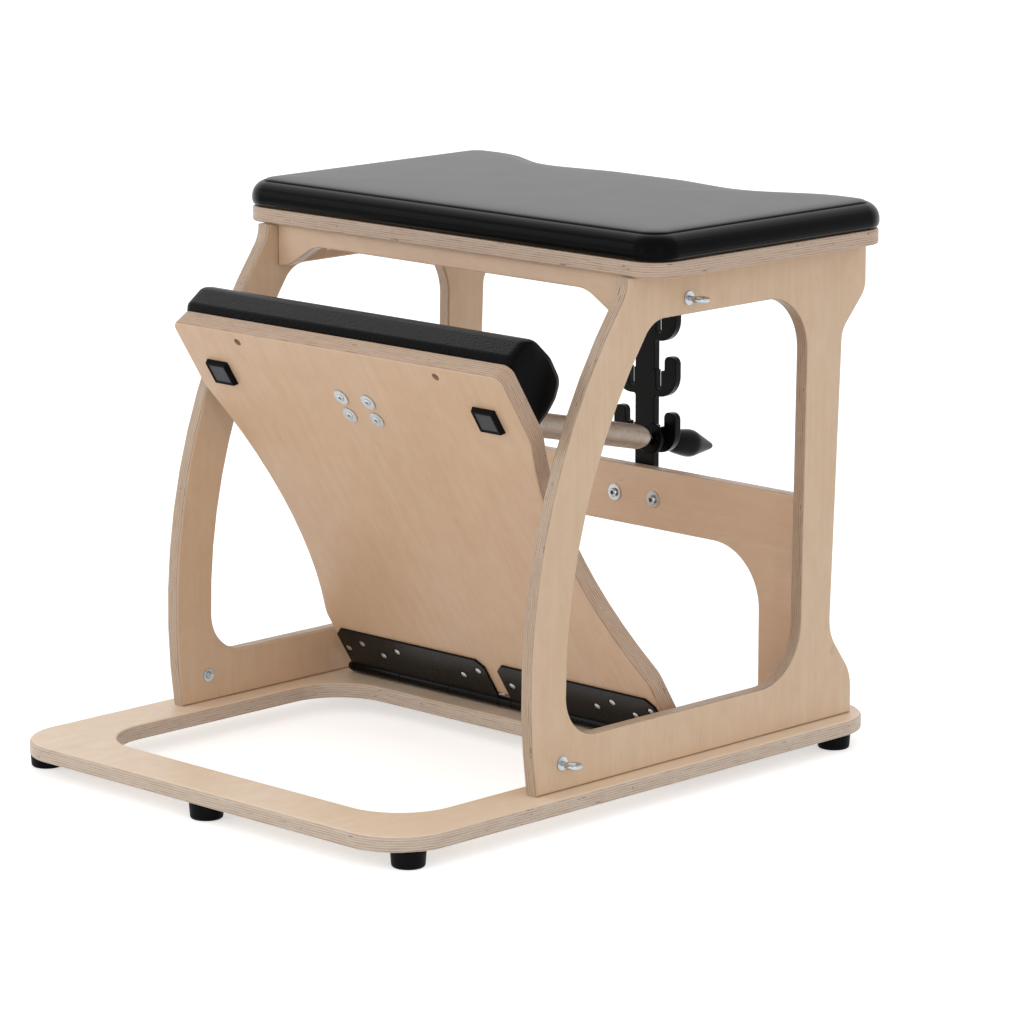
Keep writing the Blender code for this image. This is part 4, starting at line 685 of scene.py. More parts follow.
for side, name in SIDES:
    for level in ("lower", "upper"):
        nodes = [f"eyebolt_{kind}{level}_{name}" for kind in ("", "washer_", "nut_")]
        bolt, bolt_washer, nut = nodes
        spans = [sorted(side * corner.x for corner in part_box(node)) for node in nodes]
        (bolt_in, _), (washer_in, washer_out), (nut_in, nut_out) = spans
        _, spot_y, spot_z = between(bolt)
        outwards, inwards = (side, 0, 0), (-side, 0, 0)
        bm = bmesh.new()
        ring = bmesh.ops.create_circle(bm, segments=16, radius=EYE_WIRE)["verts"]
        bmesh.ops.translate(bm, verts=ring, vec=(EYE_LOOP, 0, EYE_STANDOFF))
        bmesh.ops.spin(bm, geom=bm.verts[:] + bm.edges[:], cent=(0, 0, EYE_STANDOFF), axis=(0, 1, 0),
                       angle=math.tau, steps=48, use_merge=True)
        shank_in, shank_out = bolt_in - panel_high.x, EYE_STANDOFF - EYE_LOOP
        bmesh.ops.create_cone(bm, segments=24, radius1=EYE_WIRE, radius2=EYE_WIRE, depth=shank_out - shank_in,
                              cap_ends=True, matrix=shift(0, 0, (shank_out + shank_in) / 2))
        piece(bm, zinc, "frame", bolt, place=look(outwards, (side * panel_high.x, spot_y, spot_z)))
        piece(washer(washer_out - washer_in, EYE_HOLE), zinc, "frame", bolt_washer,
              place=look(outwards, (side * washer_in, spot_y, spot_z)), bevel=WASHER_EDGE)
        nut_body = hexagon(NUT_FLATS, nut_out - nut_in - NUT_RISE, EYE_HOLE)
        bm = joined((washer(NUT_WASHER, EYE_HOLE), Matrix()), (nut_body, shift(0, 0, NUT_RISE)))
        piece(bm, zinc, "frame", nut, place=look(inwards, (side * nut_out, spot_y, spot_z)),
              bevel=WASHER_EDGE)

# Hook plate: a tree of upward hooks cut from 10 mm steel and powder coated black, behind the crossbar.
# Two bolts with washers clamp it to the crossbar; the spring's end drops into any pair of slots.
GAP = 0.0003
HOOK_POST = 0.016
HOOK_FLANGE = 0.0475
HOOK_FLANGE_DROP = 0.070
HOOK_FLANGE_TOP = 0.004
HOOK_COUNT = 4
HOOK_PITCH = 0.070
HOOK_FIRST_RISE = 0.0695
HOOK_REACH = 0.052
HOOK_HEIGHT = 0.052
HOOK_MOUTH = 0.0165
HOOK_MOUTH_DEPTH = 0.019
HOOK_TIP_FILLET = 0.009
HOOK_THROAT_FILLET = 0.0072
HOOK_HEEL_FILLET = 0.028
HOOK_ROOT_FILLET = 0.003
HOOK_CORNER = 0.004
HOOK_EASE = 0.0010
SLOT_HALF = 0.0042
SLOT_DEPTH = 0.043
SLOT_LIP_NEAR = 0.002
SLOT_LIP = 0.0012
HOOK_TOP_MARGIN = 0.010
SPRING_X = 0.0225
WIDE_WASHER = 0.0104
PLATE_BOLT_HEAD = 0.0056
PLATE_BOLT_SOCKET = 0.0026
PLATE_BOLT_RADIUS = 0.003
PLATE_NUT_FLATS = 0.0058
PLATE_NUT_HOLE = 0.0031
SCREW_CROWN = 0.80
SCREW_RIM = 0.55
SOCKET_DRAFT = 0.0002
NUT_EDGE = 0.0003

# Powder coat on steel: a black, fairly glossy skin whose faint 1.5 mm orange peel softens each highlight
coat = skin("powder_coated_steel", "black_powder_coat", (40.0, 5.0), ("060606", "0E0D0D"), (0.22, 0.36),
            sheen=(0.45, 0.75, 0.10, 0.45))
emboss(coat, 0.12, 0.0003, "ShaderNodeTexNoise", {"Scale": 650.0, "Detail": 2.0})

crossbar_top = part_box("rear_crossbar")[1].z
first_top = crossbar_top + HOOK_FIRST_RISE
foot_top = crossbar_top - HOOK_FLANGE_TOP
right = [
    (HOOK_FLANGE, foot_top - HOOK_FLANGE_DROP, HOOK_CORNER),
    (HOOK_FLANGE, foot_top, HOOK_CORNER),
    (HOOK_POST, foot_top, 0),
]
for k in range(HOOK_COUNT):
    tip = first_top + k * HOOK_PITCH
    mouth = HOOK_POST + HOOK_MOUTH
    right += [
        (HOOK_POST, tip - HOOK_HEIGHT, HOOK_ROOT_FILLET),
        (HOOK_REACH, tip - HOOK_HEIGHT, HOOK_HEEL_FILLET),
        (HOOK_REACH, tip, HOOK_TIP_FILLET),
        (mouth, tip, HOOK_THROAT_FILLET),
        (mouth, tip - HOOK_MOUTH_DEPTH, SLOT_LIP_NEAR),
        (SPRING_X + SLOT_HALF, tip - HOOK_MOUTH_DEPTH, SLOT_LIP),
        (SPRING_X, tip - SLOT_DEPTH + SLOT_HALF, SLOT_HALF, 0.0, -math.pi),
        (SPRING_X - SLOT_HALF, tip - HOOK_MOUTH_DEPTH, 0),
        (HOOK_POST, tip - HOOK_MOUTH_DEPTH, 0),
    ]
right.append((HOOK_POST, first_top + (HOOK_COUNT - 1) * HOOK_PITCH + HOOK_TOP_MARGIN, HOOK_CORNER))

low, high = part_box("hook_plate")
piece(slab([mirrored(right)], high.y - low.y, HOOK_EASE), coat, "frame", "hook_plate",
      place=shift(0, (low.y + high.y) / 2, 0) @ UPRIGHT)


def socket_screw(head, height, socket, radius, length):
    """A low-headed screw that points down, its head on z = 0, with a round socket sunk in its crown."""
    return turned([(0.0, -height), (socket, -height), (socket + SOCKET_DRAFT, height),
                   (SCREW_CROWN * head, height), (head, SCREW_RIM * height), (head, 0.0), (radius, 0.0),
                   (radius, -length), (0.0, -length)], steps=24)


for _, name in SIDES:
    bolt, bolt_washer, nut = [f"hook_plate_{kind}_{name}" for kind in ("bolt", "washer", "nut")]
    spot = between(bolt)
    low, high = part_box(bolt_washer)
    piece(washer(high.y - low.y, radius=WIDE_WASHER), zinc, "frame", bolt_washer,
          place=look((0, -1, 0), (spot.x, high.y, spot.z)), bevel=WASHER_EDGE)
    bolt_low, bolt_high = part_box(bolt)
    bm = socket_screw(PLATE_BOLT_HEAD, low.y - GAP - bolt_low.y, PLATE_BOLT_SOCKET, PLATE_BOLT_RADIUS,
                      bolt_high.y - low.y)
    piece(bm, zinc, "frame", bolt, place=look((0, -1, 0), (spot.x, low.y - GAP, spot.z)), bevel=WASHER_EDGE)
    low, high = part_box(nut)
    piece(hexagon(PLATE_NUT_FLATS, high.y - low.y, PLATE_NUT_HOLE), zinc, "frame", nut,
          place=look((0, 1, 0), (spot.x, low.y, spot.z)), bevel=NUT_EDGE)

# Hinge: two steel leaves on the pedal and one on the base share a barrel the width of the pedal.
# The leaves are powder coated black and held by small countersunk zinc screws, in pairs set high and low.
TILT = math.radians(32.12)
HINGE_HALF = 0.270
LEAF_STEEL = 0.003
LEAF_SETBACK = 0.0055
LEAF_TOP = 0.0662
LEAF_CORNER = 0.011
LEAF_FILLET = 0.004
BASE_LEAF_FILLET = 0.006
STEEL_EASE = 0.0005
HINGE_PARTING = 0.011
KNUCKLE = 0.007
KNUCKLE_EDGE = 0.0004
KNUCKLE_PLAY = 0.0006
BORE = 0.0034
LEAF_SCREW_X = (0.0255, 0.0575, 0.167, 0.198, 0.2293, 0.2605)
LEAF_SCREW_LOW = 0.0337
LEAF_SCREW_HIGH = 0.0472
BASE_SCREWS = ((0.05, 0.040), (0.15, 0.025), (0.25, 0.040))
PIN_RADIUS = 0.003
PIN_EASE = 0.0006
PIN_PLAY = 0.0004
PIN_HEAD = 0.0065
PIN_HEAD_UNDER = 0.0058
PIN_HEAD_OVER = 0.0056
PIN_HEAD_FLAT = 0.0032
PIN_HEAD_EASE = 0.0012
SCREW_SINK = 0.0051
SCREW_PROFILE = ((0.0, -0.0007), (0.0012, -0.0007), (0.0014, 0.0002), (0.0032, 0.0001), (0.0043, -0.0004),
                 (0.0024, -0.0024), (0.0, -0.0024))

hinge_axis = between("hinge_pin")
axis_place = Matrix.Translation((0, hinge_axis.y, hinge_axis.z))
pedal_place = axis_place @ Matrix.Rotation(math.pi / 2 + TILT, 4, "X")
third = (HINGE_HALF - HINGE_PARTING) / 3


def knuckle(start, end):
    """One knuckle of the barrel, along X between two places, with its ends eased."""
    reach = (abs(end - start) - KNUCKLE_PLAY) / 2
    eased, round_end = KNUCKLE - KNUCKLE_EDGE, reach - KNUCKLE_EDGE
    ring = turned([(BORE, reach), (eased, reach), (KNUCKLE, round_end), (KNUCKLE, -round_end),
                   (eased, -reach), (BORE, -reach)], closed=True)
    return ring, look((1, 0, 0), ((start + end) / 2, 0, 0))


def screwed_leaf(body, name, stops, spots, drop, place, knuckles, node):
    """A hinge leaf with its knuckles and a sink for each screw, and all its screws as a second piece."""
    holes = [[(x, y, SCREW_SINK, 0.0, math.tau)] for x, y in spots]
    leaf = joined((slab([stops] + holes, LEAF_STEEL, STEEL_EASE), drop), *[knuckle(*run) for run in knuckles])
    piece(leaf, coat, body, node, place=place)
    heads = [(turned(SCREW_PROFILE, steps=20), drop @ shift(x, y, LEAF_STEEL / 2)) for x, y in spots]
    piece(joined(*heads), zinc, body, place=place, name=name)


for side, name in SIDES:
    x0, x1 = sorted((side * HINGE_PARTING, side * HINGE_HALF))
    rows = (LEAF_SCREW_HIGH, LEAF_SCREW_LOW) if side < 0 else (LEAF_SCREW_LOW, LEAF_SCREW_HIGH)
    spots = [(side * x, rows[k % 2]) for k, x in enumerate(LEAF_SCREW_X)]
    stops = [(x0, LEAF_SETBACK, 0), (x1, LEAF_SETBACK, 0), (x1, LEAF_TOP - LEAF_CORNER, LEAF_FILLET),
             (x1 - LEAF_CORNER, LEAF_TOP, LEAF_FILLET), (x0 + LEAF_CORNER, LEAF_TOP, LEAF_FILLET),
             (x0, LEAF_TOP - LEAF_CORNER, LEAF_FILLET)]
    screwed_leaf("pedal", f"hinge_screws_{name}", stops, spots, Matrix(), pedal_place,
                 [(x0, x0 + third), (x1 - third, x1)], f"hinge_leaf_{name}")

leaf_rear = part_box("hinge_base_leaf")[1].y - hinge_axis.y
stops = [(-HINGE_HALF, LEAF_SETBACK, 0), (HINGE_HALF, LEAF_SETBACK, 0),
         (HINGE_HALF, leaf_rear, BASE_LEAF_FILLET), (-HINGE_HALF, leaf_rear, BASE_LEAF_FILLET)]
spots = [(side * x, back) for side in (-1, 1) for x, back in BASE_SCREWS]
drop = shift(0, 0, base_top + GAP + LEAF_STEEL / 2 - hinge_axis.z)
screwed_leaf("frame", "hinge_screws_base", stops, spots, drop, axis_place,
             [(third - HINGE_HALF, -HINGE_PARTING - third), (-HINGE_PARTING, HINGE_PARTING),
              (HINGE_PARTING + third, HINGE_HALF - third)], "hinge_base_leaf")

low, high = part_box("hinge_pin")
head = -HINGE_HALF - PIN_PLAY
pin = turned([(0.0, high.x), (PIN_RADIUS - PIN_EASE, high.x), (PIN_RADIUS, high.x - PIN_EASE),
              (PIN_RADIUS, head), (PIN_HEAD_UNDER, head), (PIN_HEAD, head - PIN_HEAD_EASE),
              (PIN_HEAD_OVER, low.x + PIN_HEAD_EASE), (PIN_HEAD_FLAT, low.x), (0.0, low.x)], steps=32)
piece(pin, coat, "frame", "hinge_pin", place=look((1, 0, 0), (0, hinge_axis.y, hinge_axis.z)))

# Pedal board: 24 mm birch plywood with waisted sides, grain up the board, hinged to the base at its foot.
# Two small holes near its top edge take the screws that hold the pad behind it.
PEDAL_PLY = 0.024
PLIES_24 = 17
PEDAL_FRONT = -0.0018
PEDAL_START = 0.0112
PEDAL_TOP = 0.5582
PEDAL_HALF = 0.275
PEDAL_SHOULDER = 0.277
PEDAL_WAIST = 0.2385
PEDAL_SHOULDER_LOW = 0.085
PEDAL_SHOULDER_HIGH = 0.4642
PEDAL_CORNER = 0.013
PEDAL_FOOT_CORNER = 0.002
PEDAL_BEND = 0.050
PEDAL_BEND_CUT = 0.015
PAD_SCREW_X = 0.166
PAD_SCREW_UP = 0.5427
PAD_SCREW_HOLE = 0.0058
PAD_SCREW_HOLE_FOOT = 0.0046
PAD_SCREW_DEEP = 0.0075
PAD_SCREW_SUNK = 0.0045
PAD_SCREW = ((0.0, 0.0), (0.0012, 0.0002), (0.0023, 0.0), (0.0024, -0.0015), (0.0015, -0.0016),
             (0.0015, -0.030), (0.0, -0.030))
DRILL = 0.020

chord = (PEDAL_SHOULDER_HIGH - PEDAL_SHOULDER_LOW) / 2
sag = PEDAL_SHOULDER - PEDAL_WAIST
waist_radius = (chord ** 2 + sag ** 2) / (2 * sag)
reach = math.asin((chord - PEDAL_BEND_CUT) / waist_radius)
middle = (PEDAL_SHOULDER_LOW + PEDAL_SHOULDER_HIGH) / 2
waist_x = PEDAL_WAIST + waist_radius
waist_end = PEDAL_HALF - waist_x + waist_radius * math.cos(reach)
bend = waist_radius * math.sin(reach) + waist_end / math.tan(reach)
right = [
    (PEDAL_HALF, PEDAL_START, PEDAL_FOOT_CORNER),
    (PEDAL_HALF, middle - bend, PEDAL_BEND),
    (waist_x, middle, waist_radius, math.pi + reach, math.pi - reach),
    (PEDAL_HALF, middle + bend, PEDAL_BEND),
    (PEDAL_HALF, PEDAL_TOP, PEDAL_CORNER),
]
board_place = pedal_place @ shift(0, 0, PEDAL_FRONT - PEDAL_PLY / 2)
wood = birch_plywood("pedal_plywood", board_place, PEDAL_PLY, PLIES_24, 12, tone=(0.935, 0.885, 0.82))
board = slab([mirrored(right)], PEDAL_PLY, BOARD_EASE)
pedal_board = piece(board, wood, "pedal", "pedal_board", place=board_place)
drill = bmesh.new()
for side, _ in SIDES:
    spot = shift(side * PAD_SCREW_X, PAD_SCREW_UP, PEDAL_FRONT - PAD_SCREW_DEEP + DRILL / 2)
    bmesh.ops.create_cone(drill, segments=24, radius1=PAD_SCREW_HOLE_FOOT, radius2=PAD_SCREW_HOLE,
                          depth=DRILL, cap_ends=True, matrix=spot)
bmesh.ops.transform(drill, matrix=pedal_place, verts=drill.verts)
drill_object = stand("drill", mesh_of(drill, "drill"))
bore = pedal_board.modifiers.new("screw holes", "BOOLEAN")
bore.operation = "DIFFERENCE"
bore.object = drill_object
pedal_board.modifiers.move(1, 0)
bpy.context.view_layer.update()
bored = bpy.data.meshes.new_from_object(pedal_board.evaluated_get(bpy.context.evaluated_depsgraph_get()))
pedal_board.modifiers.clear()
pedal_board.data = bored
bpy.data.objects.remove(drill_object)
for side, name in SIDES:
    piece(turned(PAD_SCREW, steps=20), zinc, "pedal", f"pedal_pad_screw_{name}",
          place=pedal_place @ shift(side * PAD_SCREW_X, PAD_SCREW_UP, PEDAL_FRONT - PAD_SCREW_SUNK))

# Pedal pad: a roll of firm foam with a flat back, in black vinyl, across the top of the pedal.
# The cover is a sleeve with a grain of its own; it rounds over at each end to a flat cap, sewn in a groove.
PAD_HALF_WIDTH = 0.2735
PAD_LENGTH = 0.0893
PAD_RISE = 0.058
PAD_TOP = PEDAL_TOP - 0.0025
PAD_SECTION = (
    (-1.0, 0.0, 0.002),
    (-0.963, 0.38, 0.020),
    (-0.90, 0.67, 0.020),
    (-0.756, 0.983, 0.020),
    (-0.375, 1.0, 0.030),
    (-0.006, 0.836, 0.022),
    (0.112, 0.603, 0.014),
    (0.088, 0.110, 0.0075),
    (0.0, 0.0, 0.002),
)
PAD_MIDDLE = 0.45
PAD_END_RUN = 0.009
PAD_END_SHARE = 0.94
PAD_END_STEPS = 6
PAD_CAP = ((0.0002, 0.933), (-0.0008, 0.926), (0.0003, 0.916), (0.0016, 0.84), (0.0022, 0.60))

# Sleeve vinyl: as the seat's, but with a deeper grain that shows as a weave where light grazes the roll. Its
# steps are drawn at 2.4 mm, coarser than the real ones, so that they show
sleeve = skin("grained_black_vinyl", "black_vinyl", (26.0, 4.0), ("070708", "0E0E10"), (0.30, 0.42),
              sheen=(0.31, 0.55, 0.04, 0.26))
emboss(sleeve, 1.0, 0.0006, "ShaderNodeTexVoronoi", {"Scale": 420.0})

pedal_rear = PEDAL_FRONT - PEDAL_PLY - GAP
section = [(PAD_TOP + along * PAD_LENGTH, pedal_rear - rise * PAD_RISE, fillet)
           for along, rise, fillet in PAD_SECTION]
pad_centre = shift(PAD_TOP - PAD_MIDDLE * PAD_LENGTH, pedal_rear, 0).inverted()
turn = [math.pi / 2 * i / PAD_END_STEPS for i in range(PAD_END_STEPS + 1)]
rings = [(PAD_END_RUN * math.sin(a), 1 - (1 - PAD_END_SHARE) * (1 - math.cos(a))) for a in turn]
rings += [(PAD_END_RUN + rise, share) for rise, share in PAD_CAP]
round_start = PAD_HALF_WIDTH - rings[-1][0]
bm = bmesh.new()
trace(bm, section, math.radians(6))
around = bm.edges[:]
cap_faces = []
for side in (-1, 1):
    edges, height, scale = around, 0.0, 1.0
    for k, (rise, width) in enumerate(rings):
        ring = bmesh.ops.extrude_edge_only(bm, edges=edges)["geom"]
        edges, verts = only(bmesh.types.BMEdge, ring), only(bmesh.types.BMVert, ring)
        bmesh.ops.translate(bm, verts=verts, vec=(0, 0, side * (round_start + rise - height)))
        bmesh.ops.scale(bm, vec=(width / scale, width / scale, 1), space=pad_centre, verts=verts)
        height, scale = round_start + rise, width
        if k > PAD_END_STEPS + 1:
            cap_faces += only(bmesh.types.BMFace, ring)
    filled = bmesh.ops.triangle_fill(bm, edges=edges, use_beauty=True, normal=(0, 0, side))["geom"]
    cap_faces += only(bmesh.types.BMFace, filled)
for face in cap_faces:
    face.material_index = 1
pedal_roll = piece(bm, sleeve, "pedal", "pedal_pad", place=pedal_place @ SIDEWAYS, crease=50)
pedal_roll.data.materials.append(vinyl)

# Bumpers: two moulded rubber blocks on the pedal's face, which land on the base's front rail.
# Each has a sunk face, scuffed grey by its landings, inside a thin rim, and is held by a hidden screw.
BUMPER_X = 0.2234
BUMPER_UP = 0.4892
BUMPER_SIZE = (0.036, 0.034, 0.0065)
BUMPER_TAPER = 0.0018
BUMPER_RIM = 0.0026
BUMPER_WALL = 0.0006
BUMPER_SUNK = 0.0012
BUMPER_EASE = 0.0005

# Scuffed rubber: the same rubber, dulled to a dark grey in patches of about 4 mm where it meets the wood
scuffed = skin("scuffed_black_rubber", "black_rubber", (240.0, 4.0), ("323436", "4C4F52"), (0.45, 0.60),
               Specular_IOR_Level=0.25)

tall = BUMPER_SIZE[2]
for side, name in SIDES:
    bm = bmesh.new()
    bmesh.ops.create_cube(bm, size=1, matrix=shift(0, 0, tall / 2) @ Matrix.Diagonal((*BUMPER_SIZE, 1)))
    for vert in bm.verts:
        if vert.co.z > tall / 2:
            vert.co.x -= math.copysign(BUMPER_TAPER, vert.co.x)
            vert.co.y -= math.copysign(BUMPER_TAPER, vert.co.y)
    top = [f for f in bm.faces if f.calc_center_median().z > tall * 0.9]
    step_in(bm, top, [(BUMPER_RIM, 0.0), (BUMPER_WALL, -BUMPER_SUNK)])
    for face in top:
        face.material_index = 1
    sharp = [e for e in bm.edges if e.calc_face_angle(0) > 0.5]
    bmesh.ops.bevel(bm, geom=sharp, offset=BUMPER_EASE, segments=2, affect="EDGES", profile=0.5, material=-1)
    bumper = piece(bm, rubber, "pedal", f"bumper_{name}",
                   place=pedal_place @ shift(side * BUMPER_X, BUMPER_UP, PEDAL_FRONT + GAP))
    bumper.data.materials.append(scuffed)

# Spring brackets: small folded steel brackets behind the pedal, coated black, each on two zinc bolts.
# The bolts' heads and washers show on the pedal's face; a zinc pin crosses the bracket's two ears.
BRACKET_HALF = 0.012
BRACKET_LOW = 0.4202
BRACKET_HIGH = 0.4942
BRACKET_STEEL = 0.003
BRACKET_CORNER = 0.003
EAR_OFFSET = 0.007
EAR_HALF = 0.010
EAR_OVERLAP = 0.001
PIN_UP = 0.4352
PIN_FRONT = -0.0461
PIN_PROFILE = ((0.0, 0.010), (0.0026, 0.010), (0.003, 0.0096), (0.003, -0.0088), (0.0042, -0.0088),
               (0.0042, -0.0098), (0.0036, -0.0103), (0.0, -0.0103))
BOLTS_UP = (0.4552, 0.4822)
BOLT_HEAD = 0.0048
BOLT_RISE = 0.0012
BOLT_SOCKET = 0.0018
BOLT_RADIUS = 0.0025
BOLT_LENGTH = 0.0345
BOLT_WASHER = 0.0012
BOLT_WASHER_HOLE = 0.0021
BOLT_NUT_FLATS = 0.0052
BOLT_NUT_HEIGHT = 0.004
BOLT_NUT_HOLE = 0.0026

for side, name in SIDES:
    x = side * SPRING_X
    left, right = x - BRACKET_HALF, x + BRACKET_HALF
    foot = [(left, BRACKET_LOW, BRACKET_CORNER), (right, BRACKET_LOW, BRACKET_CORNER),
            (right, BRACKET_HIGH, BRACKET_CORNER), (left, BRACKET_HIGH, BRACKET_CORNER)]
    ear = [(PIN_UP - EAR_HALF, pedal_rear - EAR_OVERLAP, 0), (PIN_UP, PIN_FRONT, EAR_HALF, math.pi, math.tau),
           (PIN_UP + EAR_HALF, pedal_rear - EAR_OVERLAP, 0)]
    sheets = [(foot, shift(0, 0, pedal_rear - BRACKET_STEEL / 2)),
              (ear, shift(x - EAR_OFFSET, 0, 0) @ SIDEWAYS),
              (ear, shift(x + EAR_OFFSET, 0, 0) @ SIDEWAYS)]
    bracket = joined(*[(slab([stops], BRACKET_STEEL, STEEL_EASE), place) for stops, place in sheets])
    piece(bracket, coat, "pedal", f"spring_bracket_{name}", place=pedal_place)
    piece(turned(PIN_PROFILE, steps=32), zinc, "pedal", f"bracket_pin_{name}",
          place=pedal_place @ look((1, 0, 0), (x, PIN_UP, PIN_FRONT)))
    for up, level in zip(BOLTS_UP, ("lower", "upper")):
        screw = socket_screw(BOLT_HEAD, BOLT_RISE, BOLT_SOCKET, BOLT_RADIUS, BOLT_LENGTH)
        head = joined((washer(BOLT_WASHER, BOLT_WASHER_HOLE, WIDE_WASHER), Matrix()),
                      (screw, shift(0, 0, BOLT_WASHER)))
        piece(head, zinc, "pedal", f"bracket_bolt_{name}_{level}",
              place=pedal_place @ shift(x, up, PEDAL_FRONT + GAP), bevel=WASHER_EDGE)
        nut = hexagon(BOLT_NUT_FLATS, BOLT_NUT_HEIGHT, BOLT_NUT_HOLE)
        piece(nut, zinc, "pedal", f"bracket_nut_{name}_{level}",
              place=pedal_place @ look((0, 0, -1), (x, up, pedal_rear - BRACKET_STEEL - GAP)), bevel=NUT_EDGE)

# Spring: a close-wound extension spring of 2.7 mm wire between the bracket's pin and the hook plate.
# A black disc and a cone handle on a steel neck hang its rear end in the slot; a collar closes the front.
COIL_RADIUS = 0.0155
COIL_WIRE = 0.00135
COIL_PITCH = 0.0029
COIL_TAPER = 7
COIL_TAPER_RADIUS = 0.0076
COIL_TAPER_BEND = 1.6
COIL_SEGMENTS = 20
COIL_SEAT = 0.003
DISC_RADIUS = 0.0195
DISC_BACK = 0.0145
DISC_THICK = 0.006
DISC_ROUND = 0.0018
DISC_BOSS = 0.012
DISC_BOSS_RADIUS = 0.0054
DISC_EDGE = 0.001
DISC_STEP = 0.0008
DISC_SEAT = 0.0060
DISC_SEAT_EDGE = 0.0072
DISC_FACE_EDGE = 0.0022
HANDLE_START = 0.0135
HANDLE_LENGTH = 0.084
HANDLE_RADIUS = 0.0175
HANDLE_NECK = 0.0079
HANDLE_BORE = 0.008
HANDLE_SHAPE = ((0.10, 0.998), (0.19, 0.980), (0.29, 0.935), (0.62, 0.735), (0.91, 0.560), (0.98, 0.505),
                (1.0, 0.450), (0.985, 0.390), (0.92, 0.270), (0.84, 0.160), (0.74, 0.075), (0.64, 0.030))
NECK_RADIUS = 0.0036
NECK_SUNK = 0.0075
COLLAR_START = 0.012
COLLAR_LENGTH = 0.014
COLLAR_RADIUS = 0.0165
COLLAR_BORE = 0.010
COLLAR_ROUND = 0.002
COLLAR_NOSE = 0.0025
COLLAR_EDGE = 0.001
EYE_RADIUS = 0.0085
EYE_HALF = 0.005
EYE_EDGE = 0.001
EYE_BORE = 0.0034
SHANK_LENGTH = 0.040
SHANK_RADIUS = 0.004
SHANK_EDGE = 0.0006
SHANK_START = EYE_RADIUS - 0.002

# Spring steel, drawn and oil tempered: warm grey metal with a dull sheen along the wire
spring_steel = skin("oil_tempered_spring_steel", "spring_steel", (120.0, 4.0), ("AEA296", "C9BEB3"),
                    (0.34, 0.48), Metallic=1.0)

# Moulded nylon: deep black, with a soft satin gloss and a trace of flow in its finely sparked skin
nylon = skin("moulded_black_nylon", "black_plastic", (70.0, 4.0), ("060606", "0C0C0D"), (0.20, 0.32),
             sheen=(0.60, 0.92, 0.08, 0.14))
emboss(nylon, 0.1, 0.0001, "ShaderNodeTexNoise", {"Scale": 1400.0, "Detail": 2.0})

joints = {joint["name"]: joint for joint in frame["joints"]}
pivot = Vector(joints["spring_swing"]["pos_m"])
pin_spot = Vector(joints["eye_turn"]["pos_m"])
spring_place = Matrix.Translation(pivot) @ Matrix.Rotation(
    math.atan2(pin_spot.y - pivot.y, pivot.z - pin_spot.z), 4, "X")
disc_front = -DISC_BACK - DISC_THICK
collar_front = COLLAR_START - (pivot - pin_spot).length
collar_back = collar_front + COLLAR_LENGTH
coil_start = collar_back + GAP + COIL_WIRE
coil_end = disc_front - GAP - COIL_WIRE - COIL_SEAT
turns = round((coil_end - coil_start) / COIL_PITCH)

bm = bmesh.new()
ring = bmesh.ops.create_circle(bm, segments=8, radius=COIL_WIRE)["verts"]
bmesh.ops.rotate(bm, verts=ring, cent=(0, 0, 0), matrix=Matrix.Rotation(math.pi / 2, 3, "X"))
bmesh.ops.translate(bm, verts=ring, vec=(COIL_RADIUS - COIL_WIRE, 0, coil_start))
bmesh.ops.spin(bm, geom=bm.verts[:] + bm.edges[:], cent=(0, 0, 0), axis=(0, 0, 1), angle=math.tau * turns,
               dvec=(0, 0, (coil_end - coil_start) / (turns * COIL_SEGMENTS)), steps=turns * COIL_SEGMENTS)
bmesh.ops.holes_fill(bm, edges=[e for e in bm.edges if e.is_boundary], sides=8)
taper_start = coil_end - COIL_TAPER * COIL_PITCH
for vert in bm.verts:
    past = min(1.0, max(0.0, (vert.co.z - taper_start) / (coil_end - taper_start)))
    shrink = 1 - (1 - COIL_TAPER_RADIUS / COIL_RADIUS) * past ** COIL_TAPER_BEND
    vert.co.x *= shrink
    vert.co.y *= shrink
coil = piece(bm, spring_steel, None, "spring_coil", place=spring_place, crease=70)
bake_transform(coil)

disc = [(0.0, -DISC_BACK), (DISC_SEAT, -DISC_BACK), (DISC_SEAT_EDGE, -DISC_BACK - DISC_STEP),
        (DISC_RADIUS - DISC_FACE_EDGE, -DISC_BACK - DISC_STEP)]
disc += arc(DISC_RADIUS - DISC_ROUND, -DISC_BACK - DISC_ROUND, DISC_ROUND, 80, 0)
disc += arc(DISC_RADIUS - DISC_ROUND, disc_front + DISC_ROUND, DISC_ROUND, 0, -90)
disc += [(DISC_BOSS_RADIUS + DISC_EDGE, disc_front), (DISC_BOSS_RADIUS, disc_front - DISC_EDGE),
         (DISC_BOSS_RADIUS - DISC_EDGE, disc_front - DISC_BOSS), (0.0, disc_front - DISC_BOSS)]
piece(turned(disc), nylon, "spring", "spring_rear_disc", place=spring_place, crease=50)

neck_top, neck_foot = HANDLE_START + NECK_SUNK, -DISC_BACK - NECK_SUNK
neck = turned([(0.0, neck_top), (NECK_RADIUS, neck_top), (NECK_RADIUS, neck_foot), (0.0, neck_foot)])
piece(neck, zinc, "spring", "spring_neck", place=spring_place)

handle = [(0.0, HANDLE_START + HANDLE_LENGTH)]
handle += [(HANDLE_RADIUS * width, HANDLE_START + HANDLE_LENGTH * along) for width, along in HANDLE_SHAPE]
handle += [(HANDLE_NECK, HANDLE_START), (NECK_RADIUS, HANDLE_START),
           (NECK_RADIUS, HANDLE_START + HANDLE_BORE), (0.0, HANDLE_START + HANDLE_BORE)]
piece(turned(handle), nylon, "spring", "spring_handle", place=spring_place, crease=60)

